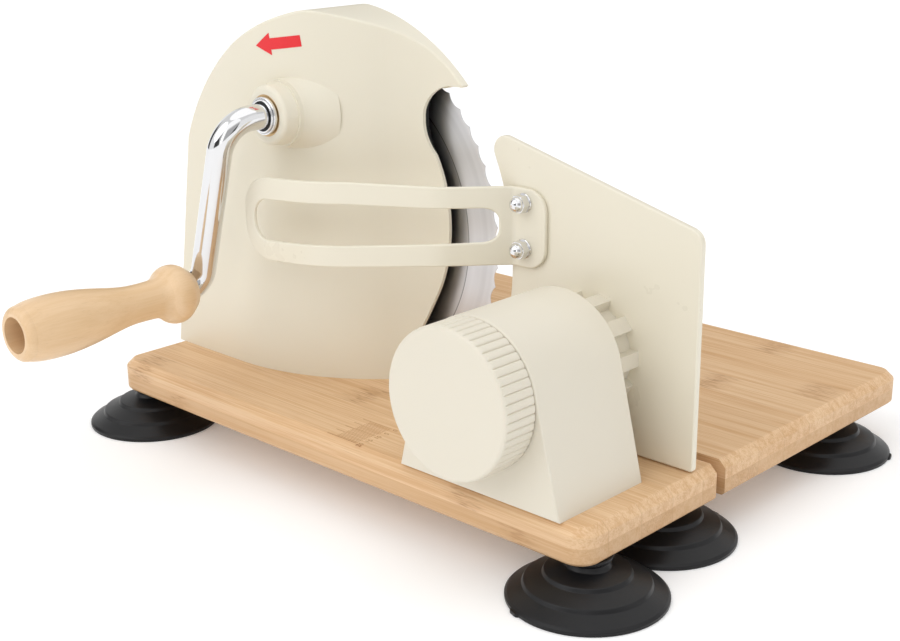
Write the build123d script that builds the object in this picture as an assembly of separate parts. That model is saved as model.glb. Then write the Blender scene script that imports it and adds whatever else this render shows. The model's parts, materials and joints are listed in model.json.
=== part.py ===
from build123d import *
from math import acos, cos, hypot, pi, radians, sin, sqrt, tan
import os

# Hand-cranked rotary slicer on a bamboo board. All sizes are in millimetres.
# X runs along the board, +Y points away from the person who cranks, +Z is up.
# Pieces are built with X = 0 and Y = 0 at the board's centre and Z = 0 on the counter.
# The row's own frame has its origin at the centre of the whole plan box, so save() moves each piece.

# ---------------------------------------------------------------- driving dimensions
BOARD_LENGTH = 280.0
BOARD_WIDTH = 230.0
BOARD_TOP = 32.0
BOARD_THICKNESS = 14.6
BOARD_BOTTOM = BOARD_TOP - BOARD_THICKNESS
BOARD_CORNER = 9.0
SLOT_FRONT = -33.5
SLOT_BACK = -27.5
SLOT_LEFT = -125.0

BLADE_RADIUS = 85.0
BLADE_X = -61.0
BLADE_Z = 97.3
BLADE_FRONT = -31.25
BLADE_THICKNESS = 1.5
BLADE_BACK = BLADE_FRONT + BLADE_THICKNESS
BLADE_SHAFT_RADIUS = 5.0
BLADE_CLEARANCE = 1.2
HUB_PIN_RADIUS = 1.5
HUB_PIN_CIRCLE = 11.0
CAP_BACK = -26.2

GEAR_MODULE = 1.5
CRANK_TEETH = 43
BLADE_TEETH = 29
MESH_PLAY = 0.2
GEAR_SPACING = GEAR_MODULE * (CRANK_TEETH + BLADE_TEETH) / 2 + MESH_PLAY
GEAR_FRONT = -48.0
GEAR_BACK = -40.0

CRANK_X = BLADE_X
CRANK_Z = BLADE_Z + GEAR_SPACING
CRANK_PLANE = -106.5
TUBE_RADIUS = 5.5
TUBE_BORE = 4.0
TUBE_BACK = -58.0
UPPER_BEND = 14.0
LOWER_BEND = 9.0

HANDLE_X = -83.4
HANDLE_Z = 76.1
HANDLE_BACK = -114.0
HANDLE_LENGTH = 85.0
HANDLE_FRONT = HANDLE_BACK - HANDLE_LENGTH
HANDLE_SHOULDER = -140.0
HANDLE_MOUTH_BORE = 7.6

SHELL_WALL = 3.0
FACE_FRONT = -79.0
FACE_BEND = 95.0
FACE_RUN = 1.5
FACE_FLARE = 43.7
BOSS_FRONT = -83.8
BOSS_RADIUS = 14.5
BOSS_BACK = -67.0
BOSS_MOUTH_RADIUS = 10.6
FRONT_BUSH_RADIUS = 7.0
BUSH_FLANGE = 1.5
CHASSIS_FRONT = -36.5
CHASSIS_BACK = -33.5
SHELL_BACK = -34.0
GUARD_BACK = -24.0
GUARD_RADIUS = 90.0
LIP_THICKNESS = 1.6
RIM_WALL = 2.0
WEB_RADIUS = 97.2
WEB_FRONT = -33.3
WEB_BACK = -31.7
ARROW_X = -62.6
ARROW_Z = 181.0
ARROW_TILT = 8.0

PLATE_FRONT = -47.0
PLATE_THICKNESS = 3.0
PLATE_BACK = PLATE_FRONT + PLATE_THICKNESS
PLATE_BOTTOM = 32.5
PLATE_RIGHT = 137.5
PLATE_HOLLOW_RADIUS = 107.5

KNOB_X = 88.0
KNOB_Z = 71.2
KNOB_RADIUS = 29.1
KNOB_FRONT = -130.6
BLOCK_FRONT = -114.5
BLOCK_BACK = -65.0
BLOCK_LENGTH = 79.5
ARCH_RADIUS = 29.3
STEM_RADIUS = 8.0
DRUM_RADIUS = 23.3
DRUM_ROOT = 19.4

CUP_RADIUS = 30.3
CUP_CENTRES = [(-131.0, -103.0), (131.0, -101.5), (121.6, -43.6), (122.5, 77.4), (-122.5, 77.4)]
CUP_TURNS = [160.0, 250.0, 80.0, 20.0, 110.0]

RUNNING_FIT = 0.05
THREAD_GAP = 0.05
PART_GAP = 0.3

# Centre of the plan box: the handle's end is its front and the board's rear edge its back.
ROW_ORIGIN_Y = (HANDLE_FRONT + BOARD_WIDTH / 2) / 2


# ---------------------------------------------------------------- helpers
def save(node, shape):
    """Move a piece into the row's frame and write its file."""
    placed = Pos(0, -ROW_ORIGIN_Y, 0) * shape
    export_step(placed, f"parts/{node}.step")


def along_y(sketch, front, back):
    """Solid of a sketch drawn in X and Z, from front to back along Y."""
    return Pos(0, back, 0) * (Rot(90, 0, 0) * extrude(sketch, amount=back - front))


def rod_y(x, z, radius, front, back):
    """Round bar along Y."""
    return Pos(x, (front + back) / 2, z) * (Rot(90, 0, 0) * Cylinder(radius, back - front))


def rod_z(x, y, radius, bottom, top):
    """Round bar along Z."""
    return Pos(x, y, (bottom + top) / 2) * Cylinder(radius, top - bottom)


def block(x_range, y_range, z_range):
    """Rectangular block between two corners."""
    size = [high - low for low, high in (x_range, y_range, z_range)]
    middle = [(high + low) / 2 for low, high in (x_range, y_range, z_range)]
    return Pos(*middle) * Box(*size)


def turned_y(profile):
    """Solid turned about the Y axis from a face drawn with X as radius and Y as place along it."""
    return revolve(profile, axis=Axis.Y)


def turned_z(profile):
    """Solid turned about the Z axis from a face drawn with X as radius and Y as height."""
    return revolve(Plane.XZ * profile, axis=Axis.Z)


def polygon(*points):
    """Flat face inside a closed run of straight edges."""
    return make_face(Polyline(*points, close=True))


def ring_places(count, radius, first_angle=0.0):
    """Places evenly spaced round a circle, as pairs."""
    angles = [radians(first_angle + 360 * index / count) for index in range(count)]
    return [(radius * cos(angle), radius * sin(angle)) for angle in angles]


def machine_screw_y(x, z, head_radius, head_height, shank_radius, head_at, tip_at):
    """Round-headed screw along Y with its head's underside at head_at."""
    toward_head = 1 if head_at > tip_at else -1
    head_end = head_at + toward_head * head_height
    shank = rod_y(x, z, shank_radius, min(head_at, tip_at), max(head_at, tip_at))
    head = rod_y(x, z, head_radius, min(head_at, head_end), max(head_at, head_end))
    drive = rod_y(x, z, shank_radius * 0.7, head_end - 0.6 * head_height, head_end + 0.6 * head_height)
    return shank + (head - drive)


def wood_screw_z(x, y, head_bottom, head_top, tip, head_radius, shank_radius):
    """Countersunk screw that points up, with a cross-shaped drive in its head."""
    head = Pos(x, y, (head_bottom + head_top) / 2) * Cone(head_radius, shank_radius, head_top - head_bottom)
    shank = rod_z(x, y, shank_radius, head_top, tip - 2.0)
    point = Pos(x, y, tip - 1.0) * Cone(shank_radius, 0.4, 2.0)
    drive = Pos(x, y, head_bottom) * (Box(head_radius, 0.8, 1.6) + Box(0.8, head_radius, 1.6))
    return head + shank + point - drive


# ---------------------------------------------------------------- gears
def gear_face(teeth, tooth_angle, backlash=0.25):
    """Involute gear outline with one tooth centred at tooth_angle degrees."""
    pressure = radians(20)
    pitch_radius = GEAR_MODULE * teeth / 2
    base_radius = pitch_radius * cos(pressure)
    tip_radius = pitch_radius + GEAR_MODULE
    root_radius = pitch_radius - 1.25 * GEAR_MODULE
    half_tooth = pi / (2 * teeth) - backlash / (2 * pitch_radius) + tan(pressure) - pressure
    start_radius = max(base_radius, root_radius)
    steps = 5
    flank = []
    for step in range(steps + 1):
        radius = start_radius + (tip_radius - start_radius) * step / steps
        roll = acos(base_radius / radius)
        flank.append((radius, half_tooth - (tan(roll) - roll)))
    if root_radius < start_radius:
        flank.insert(0, (root_radius, flank[0][1]))
    points = []
    for tooth in range(teeth):
        centre = radians(tooth_angle) + 2 * pi * tooth / teeth
        rising = [(radius, centre - offset) for radius, offset in flank]
        falling = [(radius, centre + offset) for radius, offset in reversed(flank)]
        points += [(radius * cos(angle), radius * sin(angle)) for radius, angle in rising + falling]
    return polygon(*points)


def make_drive_gear():
    """Large gear on the crank's shaft, with a hub and five lightening holes."""
    face = gear_face(CRANK_TEETH, -90.0) - Circle(TUBE_BORE)
    lightening = [Pos(x, y) * Circle(5.0) for x, y in ring_places(5, 20.0, 90.0)]
    gear = along_y(face - lightening, GEAR_FRONT, GEAR_BACK)
    hub = along_y(Circle(9.5) - Circle(TUBE_BORE), TUBE_BACK, GEAR_FRONT)
    return Pos(CRANK_X, 0, CRANK_Z) * (gear + hub)


def make_blade_pinion():
    """Small gear on the blade's shaft, in mesh with the drive gear above it."""
    half_pitch = 180.0 / BLADE_TEETH
    face = gear_face(BLADE_TEETH, 90.0 + half_pitch) - Circle(BLADE_SHAFT_RADIUS)
    gear = along_y(face, GEAR_FRONT, GEAR_BACK)
    hub = along_y(Circle(9.0) - Circle(BLADE_SHAFT_RADIUS), GEAR_BACK, CHASSIS_FRONT - 1.5)
    return Pos(BLADE_X, 0, BLADE_Z) * (gear + hub)


# ---------------------------------------------------------------- board and feet
def foot_screw_places():
    """Screws that hold the gear case's foot, from under the board."""
    return [(-106.0, -48.0), (-80.0, -48.0), (-54.0, -48.0)]


def block_screw_places():
    """Screws that hold the control block, from under the board."""
    return [(x, y) for x in (KNOB_X - 30.0, KNOB_X + 30.0) for y in (BLOCK_FRONT + 8.0, BLOCK_BACK - 8.0)]


def make_board():
    """Bamboo board with the slot that the blade dips into and the slices drop along."""
    outline = fillet(Rectangle(BOARD_LENGTH, BOARD_WIDTH).vertices(), BOARD_CORNER)
    board = Pos(0, 0, BOARD_BOTTOM) * extrude(outline, amount=BOARD_THICKNESS)
    board = chamfer(board.faces().sort_by(Axis.Z)[-1].edges(), 3.2)
    board = chamfer(board.faces().sort_by(Axis.Z)[0].edges(), 1.2)
    slot_width = SLOT_BACK - SLOT_FRONT
    slot_middle = (SLOT_FRONT + SLOT_BACK) / 2
    above = BOARD_TOP + 1.0
    below = BOARD_BOTTOM - 1.0
    slot = block((SLOT_LEFT, BOARD_LENGTH / 2 + 1.0), (SLOT_FRONT, SLOT_BACK), (below, above))
    slot += rod_z(SLOT_LEFT, slot_middle, slot_width / 2, below, above)
    board -= slot
    for x, y in CUP_CENTRES:
        board -= rod_z(x, y, 1.6 + THREAD_GAP, BOARD_BOTTOM - 1.0, BOARD_BOTTOM + 10.0)
    for x, y in foot_screw_places() + block_screw_places():
        board -= rod_z(x, y, 2.3, BOARD_BOTTOM - 1.0, BOARD_TOP + 1.0)
        board -= Pos(x, y, BOARD_BOTTOM + 1.2) * Cone(4.6, 2.3, 2.6)
    return board


def cup_profile():
    """Half section of a suction cup: ringed cone, neck, seat under the board and a shallow hollow."""
    dome = ThreePointArc((28.3, 0.0), (15.0, 3.2), (2.4, 3.8))
    outline = Polyline(
        (2.4, 3.8), (2.4, 14.6), (4.2, 14.6), (4.2, BOARD_BOTTOM), (9.2, BOARD_BOTTOM), (9.2, 16.2),
        (7.8, 14.6), (9.6, 12.8), (16.2, 11.0), (16.6, 9.4), (23.6, 6.6), (24.0, 5.2),
        (29.2, 2.6), (CUP_RADIUS, 1.6), (CUP_RADIUS, 0.0), (28.3, 0.0),
    )
    return make_face([dome, outline])


def make_suction_cups():
    """Five suction cups, each with a pull tab on its rim."""
    cup = turned_z(cup_profile())
    tab = block((CUP_RADIUS - 2.5, CUP_RADIUS + 1.0), (-3.0, 3.0), (0.0, 1.5))
    tab = fillet(tab.edges().filter_by(Axis.Z).sort_by(Axis.X)[-2:], 0.9)
    hollow = Cone(28.6, 28.3, 1.0)
    cup += tab - hollow
    return [Pos(x, y, 0) * (Rot(0, 0, turn) * cup) for (x, y), turn in zip(CUP_CENTRES, CUP_TURNS)]


def make_cup_screws():
    """One pan-head screw up through each cup's neck into the board."""
    head = Pos(0, 0, 15.6) * Cylinder(4.0, 2.0)
    drive = Pos(0, 0, 14.6) * (Box(4.0, 0.9, 1.6) + Box(0.9, 4.0, 1.6))
    screw = rod_z(0, 0, 1.6, 16.6, BOARD_BOTTOM + 8.0) + (head - drive)
    return [Pos(x, y, 0) * screw for x, y in CUP_CENTRES]


def make_foot_screws():
    """Screws up through the board into the chassis foot."""
    return [wood_screw_z(x, y, BOARD_BOTTOM + 0.2, BOARD_BOTTOM + 2.4, BOARD_TOP + 3.6, 4.3, 2.0)
            for x, y in foot_screw_places()]


def make_block_screws():
    """Screws up through the board into the control block."""
    return [wood_screw_z(x, y, BOARD_BOTTOM + 0.2, BOARD_BOTTOM + 2.4, BOARD_TOP + 9.0, 4.3, 2.0)
            for x, y in block_screw_places()]


# ---------------------------------------------------------------- gear case
def face_outline():
    """Outline of the shell seen from the front, above the board."""
    left = Line((-141.0, BOARD_TOP), (-124.0, 134.0))
    crown = ThreePointArc((-124.0, 134.0), (-96.0, 173.3), (-56.0, 194.3))
    summit = ThreePointArc((-56.0, 194.3), (-51.7, 195.1), (-47.3, 195.0))
    hood = ThreePointArc((-47.3, 195.0), (-16.4, 185.3), (9.6, 166.2))
    tip = ThreePointArc((9.6, 166.2), (10.2, 165.4), (9.2, 164.9))
    under_hood = Line((9.2, 164.9), (3.0, 164.9))
    notch = ThreePointArc((3.0, 164.9), (-5.8, 160.6), (-9.5, 150.4))
    shoulder = ThreePointArc((-9.5, 150.4), (-8.3, 142.0), (-4.3, 135.0))
    belly = ThreePointArc((-4.3, 135.0), (2.4, 103.0), (-4.6, 72.0))
    waist = Line((-4.6, 72.0), (-22.6, BOARD_TOP))
    base = Line((-22.6, BOARD_TOP), (-141.0, BOARD_TOP))
    edges = [left, crown, summit, hood, tip, under_hood, notch, shoulder, belly, waist, base]
    return make_face(edges)


def plan_region(inset, back):
    """Plan of the shell's body in front of the line y = back, drawn with its face inset by a wall."""
    start = Line((-160.0, FACE_FRONT + inset), (-92.0, FACE_FRONT + inset))
    bend = JernArc(start @ 1, start % 1, FACE_BEND - inset, 45)
    run = Line(bend @ 1, bend @ 1 + FACE_RUN * (bend % 1))
    flare = JernArc(run @ 1, run % 1, FACE_FLARE + inset, -45)
    lead_out = Line(flare @ 1, flare @ 1 + 12.0 * (flare % 1))
    corner = lead_out @ 1
    closing = Polyline((corner.X, corner.Y), (corner.X, back), (-160.0, back), (-160.0, FACE_FRONT + inset))
    return make_face([start, bend, run, flare, lead_out, closing])


def face_body(outline, inset, back):
    """Solid behind the curved face: the plan swept up, cut to a front outline."""
    prism = extrude(plan_region(inset, back), amount=210.0)
    return prism & along_y(outline, FACE_FRONT - 1.0, back)


def post_places():
    """Posts inside the shell that the chassis plate is screwed to."""
    return [(-118.0, 60.0), (-36.0, 50.0), (-111.0, 142.0), (-24.0, 176.0)]


def blade_disc_region(radius):
    """Disc about the blade's axis, above the board."""
    above_board = Pos(0, BOARD_TOP + 100.0) * Rectangle(400.0, 200.0)
    return Pos(BLADE_X, BLADE_Z) * Circle(radius) & above_board


def guard_side():
    """Region of the front view where the guard covers the blade's edge: left of and above its middle."""
    return polygon(
        (-170.0, BOARD_TOP - 1.0), (BLADE_X - 24.0, BOARD_TOP - 1.0), (BLADE_X - 24.0, BLADE_Z),
        (BLADE_X + 28.0, 163.6), (20.0, 163.6), (20.0, 210.0), (-170.0, 210.0),
    )


def open_side():
    """Region of the front view where the shell is only a lip, and the chassis rim closes the case."""
    return polygon((-32.0, BOARD_TOP - 1.0), (20.0, BOARD_TOP - 1.0), (20.0, 163.4), (-32.0, 163.4))


def foot_opening():
    """Front view of the opening in the shell's floor that the chassis foot stands in."""
    return polygon((-137.4, BOARD_TOP - 1.0), (-30.5, BOARD_TOP - 1.0), (-27.0, BOARD_TOP + 8.0),
                   (-136.0, BOARD_TOP + 8.0))


def is_front_rim(edge):
    """True for the edges round the face that the mould leaves soft."""
    middle = edge.center()
    along_depth = abs((edge @ 1 - edge @ 0).Y) > 0.98 * edge.length
    upper = middle.Z > BOARD_TOP + 1.0 and middle.Y < SHELL_BACK - 4.0
    sharp_side = middle.X > -30.0 and middle.Z < 168.0
    return upper and not along_depth and not sharp_side


def make_boss():
    """Boss round the crank: a soft nose at the mouth of its bore, flaring into the curved face."""
    nose = ThreePointArc((BOSS_MOUTH_RADIUS, BOSS_FRONT), (BOSS_MOUTH_RADIUS + 1.6, BOSS_FRONT + 0.5),
                         (BOSS_MOUTH_RADIUS + 2.3, BOSS_FRONT + 2.0))
    flare = ThreePointArc(nose @ 1, (BOSS_MOUTH_RADIUS + 3.6, FACE_FRONT + 3.5), (18.0, FACE_FRONT + 9.5))
    skirt = Line(flare @ 1, (24.0, FACE_FRONT + 16.5))
    closing = Polyline(skirt @ 1, (0.0, FACE_FRONT + 16.5), (0.0, BOSS_FRONT), nose @ 0)
    flared = Pos(CRANK_X, 0, CRANK_Z) * turned_y(make_face([nose, flare, skirt, closing]))
    inside = Pos(CRANK_X, CRANK_Z) * Circle(26.0)
    core = rod_y(CRANK_X, CRANK_Z, BOSS_RADIUS, FACE_FRONT + 2.0, BOSS_BACK)
    return flared - face_body(inside, SHELL_WALL - 0.5, FACE_FRONT + 18.0) + core


def make_housing_shell():
    """Cream shell: curved face, crank boss, screw posts and the guard over the blade's rear edge."""
    outline = face_outline()
    inner = offset(outline, amount=-SHELL_WALL)
    shell = face_body(outline, 0.0, SHELL_BACK)
    shell += along_y(blade_disc_region(GUARD_RADIUS) & guard_side(), SHELL_BACK - SHELL_WALL, GUARD_BACK)
    shell += along_y(blade_disc_region(WEB_RADIUS) & outline & guard_side(), SHELL_BACK - 1.0, WEB_BACK)
    shell = fillet([edge for edge in shell.edges() if is_front_rim(edge)], 1.0)
    shell += make_boss()
    shell -= along_y(blade_disc_region(GUARD_RADIUS - SHELL_WALL), WEB_FRONT, GUARD_BACK + 1.0)
    shell -= face_body(inner, SHELL_WALL, WEB_FRONT)
    shell -= face_body((outline - inner) & open_side(), LIP_THICKNESS, SHELL_BACK + 1.0)
    shell -= face_body(foot_opening(), SHELL_WALL, SHELL_BACK + 1.0)
    shell -= rod_y(BLADE_X, BLADE_Z, BLADE_RADIUS + BLADE_CLEARANCE, SHELL_BACK, GUARD_BACK + 1.0)
    shell -= block((-126.0, 0.0), (SHELL_BACK, GUARD_BACK + 1.0), (BOARD_TOP - 1.0, BOARD_TOP + 8.0))
    face_limit = face_body(outline, 0.5, CHASSIS_FRONT)
    for x, z in post_places():
        shell += rod_y(x, z, 4.5, FACE_FRONT, CHASSIS_FRONT) & face_limit
    shell += rod_y(BLADE_X, BLADE_Z, 9.0, FACE_FRONT, -54.0) & face_limit
    for x, z in post_places():
        shell -= rod_y(x, z, 1.5 + THREAD_GAP, CHASSIS_FRONT - 9.0, CHASSIS_FRONT + 1.0)
    shell -= rod_y(BLADE_X, BLADE_Z, 7.0, -64.0, -53.0)
    shell -= rod_y(CRANK_X, CRANK_Z, FRONT_BUSH_RADIUS, BOSS_FRONT - 1.0, BOSS_BACK + 1.0)
    shell -= rod_y(CRANK_X, CRANK_Z, FRONT_BUSH_RADIUS + 2.0, BOSS_FRONT - 1.0, BOSS_FRONT + BUSH_FLANGE)
    return shell


def make_chassis_plate():
    """Black plate that closes the gear case and carries both shafts, with a rim and a foot on the board."""
    outline = offset(face_outline(), amount=-(SHELL_WALL + PART_GAP))
    plate = face_body(outline, SHELL_WALL + PART_GAP, CHASSIS_BACK)
    plate &= block((-150.0, 20.0), (CHASSIS_FRONT, CHASSIS_BACK), (BOARD_TOP, 210.0))
    rim = (outline - offset(outline, amount=-RIM_WALL)) & open_side()
    plate += face_body(rim, SHELL_WALL + PART_GAP, CHASSIS_BACK)
    plate += block((-128.0, -46.0), (CHASSIS_FRONT - 20.0, CHASSIS_BACK), (BOARD_TOP, BOARD_TOP + 4.5))
    plate += rod_y(CRANK_X, CRANK_Z, 9.0, CHASSIS_FRONT - 1.5, CHASSIS_FRONT)
    plate -= rod_y(CRANK_X, CRANK_Z, 6.0, CHASSIS_FRONT - 2.0, CHASSIS_BACK + 1.0)
    plate -= rod_y(BLADE_X, BLADE_Z, 8.0, CHASSIS_FRONT - 1.0, CHASSIS_BACK + 1.0)
    for x, z in post_places():
        plate -= rod_y(x, z, 1.9, CHASSIS_FRONT - 1.0, CHASSIS_BACK + 1.0)
        plate -= rod_y(x, z, 3.6, CHASSIS_BACK - 1.4, CHASSIS_BACK + 1.0)
    for x, y in foot_screw_places():
        plate -= rod_z(x, y, 2.0 + THREAD_GAP, BOARD_TOP - 1.0, BOARD_TOP + 3.8)
    return plate


def make_case_screws():
    """Screws from the blade side through the chassis plate into the shell's posts."""
    return [machine_screw_y(x, z, 3.4, 1.2, 1.5, CHASSIS_BACK - 1.4, CHASSIS_FRONT - 8.0)
            for x, z in post_places()]


def make_bush(x, z, outer, inner, sleeve, flange):
    """Plain bearing bush; sleeve and flange are the Y ranges of its two diameters."""
    bush = rod_y(x, z, outer, *sleeve) + rod_y(x, z, outer + 2.0, *flange)
    return bush - rod_y(x, z, inner, min(sleeve + flange) - 1.0, max(sleeve + flange) + 1.0)


def make_crank_front_bush():
    """Bush in the shell's boss that the crank tube turns in."""
    flange_back = BOSS_FRONT + BUSH_FLANGE
    return make_bush(CRANK_X, CRANK_Z, FRONT_BUSH_RADIUS, TUBE_RADIUS + RUNNING_FIT, (flange_back, -62.0),
                     (BOSS_FRONT, flange_back))


def make_crank_rear_bush():
    """Bush in the chassis plate for the end of the crank's shaft."""
    front = CHASSIS_FRONT - 1.5
    return make_bush(CRANK_X, CRANK_Z, 6.0, TUBE_BORE + RUNNING_FIT, (front, CHASSIS_BACK), (front - 0.4, front))


def make_blade_front_bush():
    """Bush in the shell's inner bearing for the front of the blade's shaft."""
    return make_bush(BLADE_X, BLADE_Z, 7.0, BLADE_SHAFT_RADIUS + RUNNING_FIT, (-63.8, -54.0), (-54.0, -53.0))


def make_blade_rear_bush():
    """Bush in the chassis plate that carries the blade's shaft next to the blade."""
    return make_bush(BLADE_X, BLADE_Z, 8.0, BLADE_SHAFT_RADIUS + RUNNING_FIT, (CHASSIS_FRONT, CHASSIS_BACK),
                     (CHASSIS_FRONT - 0.8, CHASSIS_FRONT))


def make_direction_arrow():
    """Thin arrow label on the face, pointing the way that the crank's top moves."""
    arrow = polygon((-10.8, 0.0), (-3.4, 4.7), (-3.4, 2.4), (10.6, 2.4), (10.6, -2.4), (-3.4, -2.4), (-3.4, -4.7))
    placed = Pos(ARROW_X, ARROW_Z) * (Rot(0, 0, ARROW_TILT) * arrow)
    skin = extrude(plan_region(-0.2, 0.0), amount=210.0) - extrude(plan_region(0.0, 1.0), amount=210.0)
    return skin & along_y(placed, FACE_FRONT - 1.0, -40.0)


# ---------------------------------------------------------------- crank and handle
def make_crank_tube():
    """Bent tube from the gear case out to the wooden handle."""
    path = FilletPolyline(
        (CRANK_X, TUBE_BACK, CRANK_Z), (CRANK_X, CRANK_PLANE, CRANK_Z),
        (HANDLE_X, CRANK_PLANE, HANDLE_Z), (HANDLE_X, HANDLE_SHOULDER, HANDLE_Z),
        radius=[UPPER_BEND, LOWER_BEND],
    )
    start = Plane(origin=path @ 0, z_dir=path % 0)
    return sweep(start * (Circle(TUBE_RADIUS) - Circle(TUBE_BORE)), path=path)


def make_crank_shaft():
    """Steel shaft pressed into the tube, carrying the drive gear into the chassis bush."""
    shaft = rod_y(CRANK_X, CRANK_Z, TUBE_BORE, -90.0, CHASSIS_BACK - 0.4)
    groove = rod_y(CRANK_X, CRANK_Z, TUBE_BORE + 1.0, -39.4, -38.6) - rod_y(CRANK_X, CRANK_Z, 3.2, -40.0, -38.0)
    return shaft - groove


def make_gear_clip():
    """Spring clip in the shaft's groove, behind the drive gear."""
    clip = rod_y(CRANK_X, CRANK_Z, 6.6, -39.4, -38.6) - rod_y(CRANK_X, CRANK_Z, 3.2, -40.0, -38.0)
    return clip - block((CRANK_X - 2.4, CRANK_X + 2.4), (-40.0, -38.0), (CRANK_Z, CRANK_Z + 8.0))


def make_crank_collar():
    """Two plated rings that turn with the tube in front of the boss."""
    back = BOSS_FRONT - PART_GAP
    wide_ring = rod_y(CRANK_X, CRANK_Z, 8.2, back - 1.3, back)
    front_ring = rod_y(CRANK_X, CRANK_Z, 7.2, back - 2.3, back)
    return wide_ring + front_ring - rod_y(CRANK_X, CRANK_Z, TUBE_RADIUS, back - 3.0, back + 1.0)


def make_handle_washer():
    """Washer that keeps the handle on the tube."""
    washer = rod_y(HANDLE_X, HANDLE_Z, 7.0, HANDLE_SHOULDER - 1.6, HANDLE_SHOULDER - 0.4)
    return washer - rod_y(HANDLE_X, HANDLE_Z, 3.0, HANDLE_SHOULDER - 2.0, HANDLE_SHOULDER)


def make_handle_bolt():
    """Hexagon-socket bolt screwed into the tube's end through the washer."""
    head_front = HANDLE_SHOULDER - 6.6
    head_back = HANDLE_SHOULDER - 1.6
    head = rod_y(HANDLE_X, HANDLE_Z, 5.0, head_front, head_back)
    socket = along_y(RegularPolygon(2.6, 6), head_front - 1.0, head_front + 3.0)
    head -= Pos(HANDLE_X, 0, HANDLE_Z) * socket
    neck = rod_y(HANDLE_X, HANDLE_Z, 3.0, head_back, HANDLE_SHOULDER)
    thread = rod_y(HANDLE_X, HANDLE_Z, TUBE_BORE, HANDLE_SHOULDER, HANDLE_SHOULDER + 14.0)
    return head + neck + thread


def make_wooden_handle():
    """Turned handle: rounded open end, full belly, thin neck and a flange next to the crank."""
    mouth = ThreePointArc((9.0, 0.0), (10.7, 1.0), (11.6, 3.6))
    belly = Spline((11.6, 3.6), (13.0, 12.0), (12.4, 29.0), (10.3, 42.0), (8.4, 54.0), (8.3, 64.0), (10.4, 71.0),
                   tangents=[(0.35, 1.0), (0.8, 1.0)])
    flange = ThreePointArc((10.4, 71.0), (12.9, 76.0), (11.6, 81.5))
    back = Polyline((11.6, 81.5), (9.0, 85.0), (0.0, 85.0), (0.0, 0.0), (9.0, 0.0))
    handle = turned_y(make_face([mouth, belly, flange, back]))
    handle = Pos(HANDLE_X, HANDLE_FRONT, HANDLE_Z) * handle
    handle -= rod_y(HANDLE_X, HANDLE_Z, TUBE_RADIUS + RUNNING_FIT, HANDLE_SHOULDER - 1.0, HANDLE_BACK + 1.0)
    handle -= rod_y(HANDLE_X, HANDLE_Z, HANDLE_MOUTH_BORE, HANDLE_FRONT - 1.0, HANDLE_SHOULDER)
    relief = Rot(-90, 0, 0) * Cone(TUBE_RADIUS, TUBE_RADIUS + 2.0, 4.0)
    return handle - Pos(HANDLE_X, HANDLE_BACK - 1.5, HANDLE_Z) * relief


# ---------------------------------------------------------------- blade
def make_blade_disc():
    """Round knife with a tapered rim and a scalloped cutting edge."""
    taper_start = 69.0
    edge = BLADE_BACK - 0.15
    profile = polygon(
        (BLADE_SHAFT_RADIUS, BLADE_FRONT), (taper_start, BLADE_FRONT), (BLADE_RADIUS + 1.0, edge),
        (BLADE_RADIUS + 1.0, BLADE_BACK), (BLADE_SHAFT_RADIUS, BLADE_BACK),
    )
    disc = turned_y(profile)
    scallops = 60
    valley = BLADE_RADIUS - 1.5
    arcs = []
    for index in range(scallops):
        first, middle, last = (radians(360 * (index + part) / scallops) for part in (0.0, 0.5, 1.0))
        arcs.append(ThreePointArc(
            (BLADE_RADIUS * cos(first), BLADE_RADIUS * sin(first)),
            (valley * cos(middle), valley * sin(middle)),
            (BLADE_RADIUS * cos(last), BLADE_RADIUS * sin(last)),
        ))
    disc &= along_y(make_face(arcs), BLADE_FRONT - 1.0, BLADE_BACK + 1.0)
    for x, z in ring_places(3, HUB_PIN_CIRCLE, 90.0):
        disc -= rod_y(x, z, HUB_PIN_RADIUS, BLADE_FRONT - 1.0, BLADE_BACK + 1.0)
    return Pos(BLADE_X, 0, BLADE_Z) * disc


def make_blade_shaft():
    """Shaft from the shell's front bearing out behind the blade."""
    return rod_y(BLADE_X, BLADE_Z, BLADE_SHAFT_RADIUS, -62.0, -23.0)


def make_blade_hub():
    """Flange fixed on the shaft, in front of the blade."""
    flange = rod_y(BLADE_X, BLADE_Z, 15.0, CHASSIS_BACK + 0.5, BLADE_FRONT)
    pins = [rod_y(BLADE_X + x, BLADE_Z + z, HUB_PIN_RADIUS, BLADE_FRONT, BLADE_BACK)
            for x, z in ring_places(3, HUB_PIN_CIRCLE, 90.0)]
    return (flange + pins) - rod_y(BLADE_X, BLADE_Z, BLADE_SHAFT_RADIUS, CHASSIS_BACK, BLADE_FRONT + 1.0)


def make_blade_cap():
    """Domed clamping washer behind the blade."""
    profile = polygon(
        (BLADE_SHAFT_RADIUS, BLADE_BACK), (19.0, BLADE_BACK), (19.0, BLADE_BACK + 1.2), (13.0, CAP_BACK),
        (BLADE_SHAFT_RADIUS, CAP_BACK),
    )
    return Pos(BLADE_X, 0, BLADE_Z) * turned_y(profile)


def make_blade_nut():
    """Left-handed slotted nut that a coin loosens to take the blade off."""
    nut = rod_y(BLADE_X, BLADE_Z, 9.5, CAP_BACK, -22.4)
    nut -= rod_y(BLADE_X, BLADE_Z, BLADE_SHAFT_RADIUS, CAP_BACK - 1.0, -23.0)
    slot = block((BLADE_X - 10.0, BLADE_X + 10.0), (-22.9, -22.0), (BLADE_Z - 1.1, BLADE_Z + 1.1))
    return nut - slot


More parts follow.
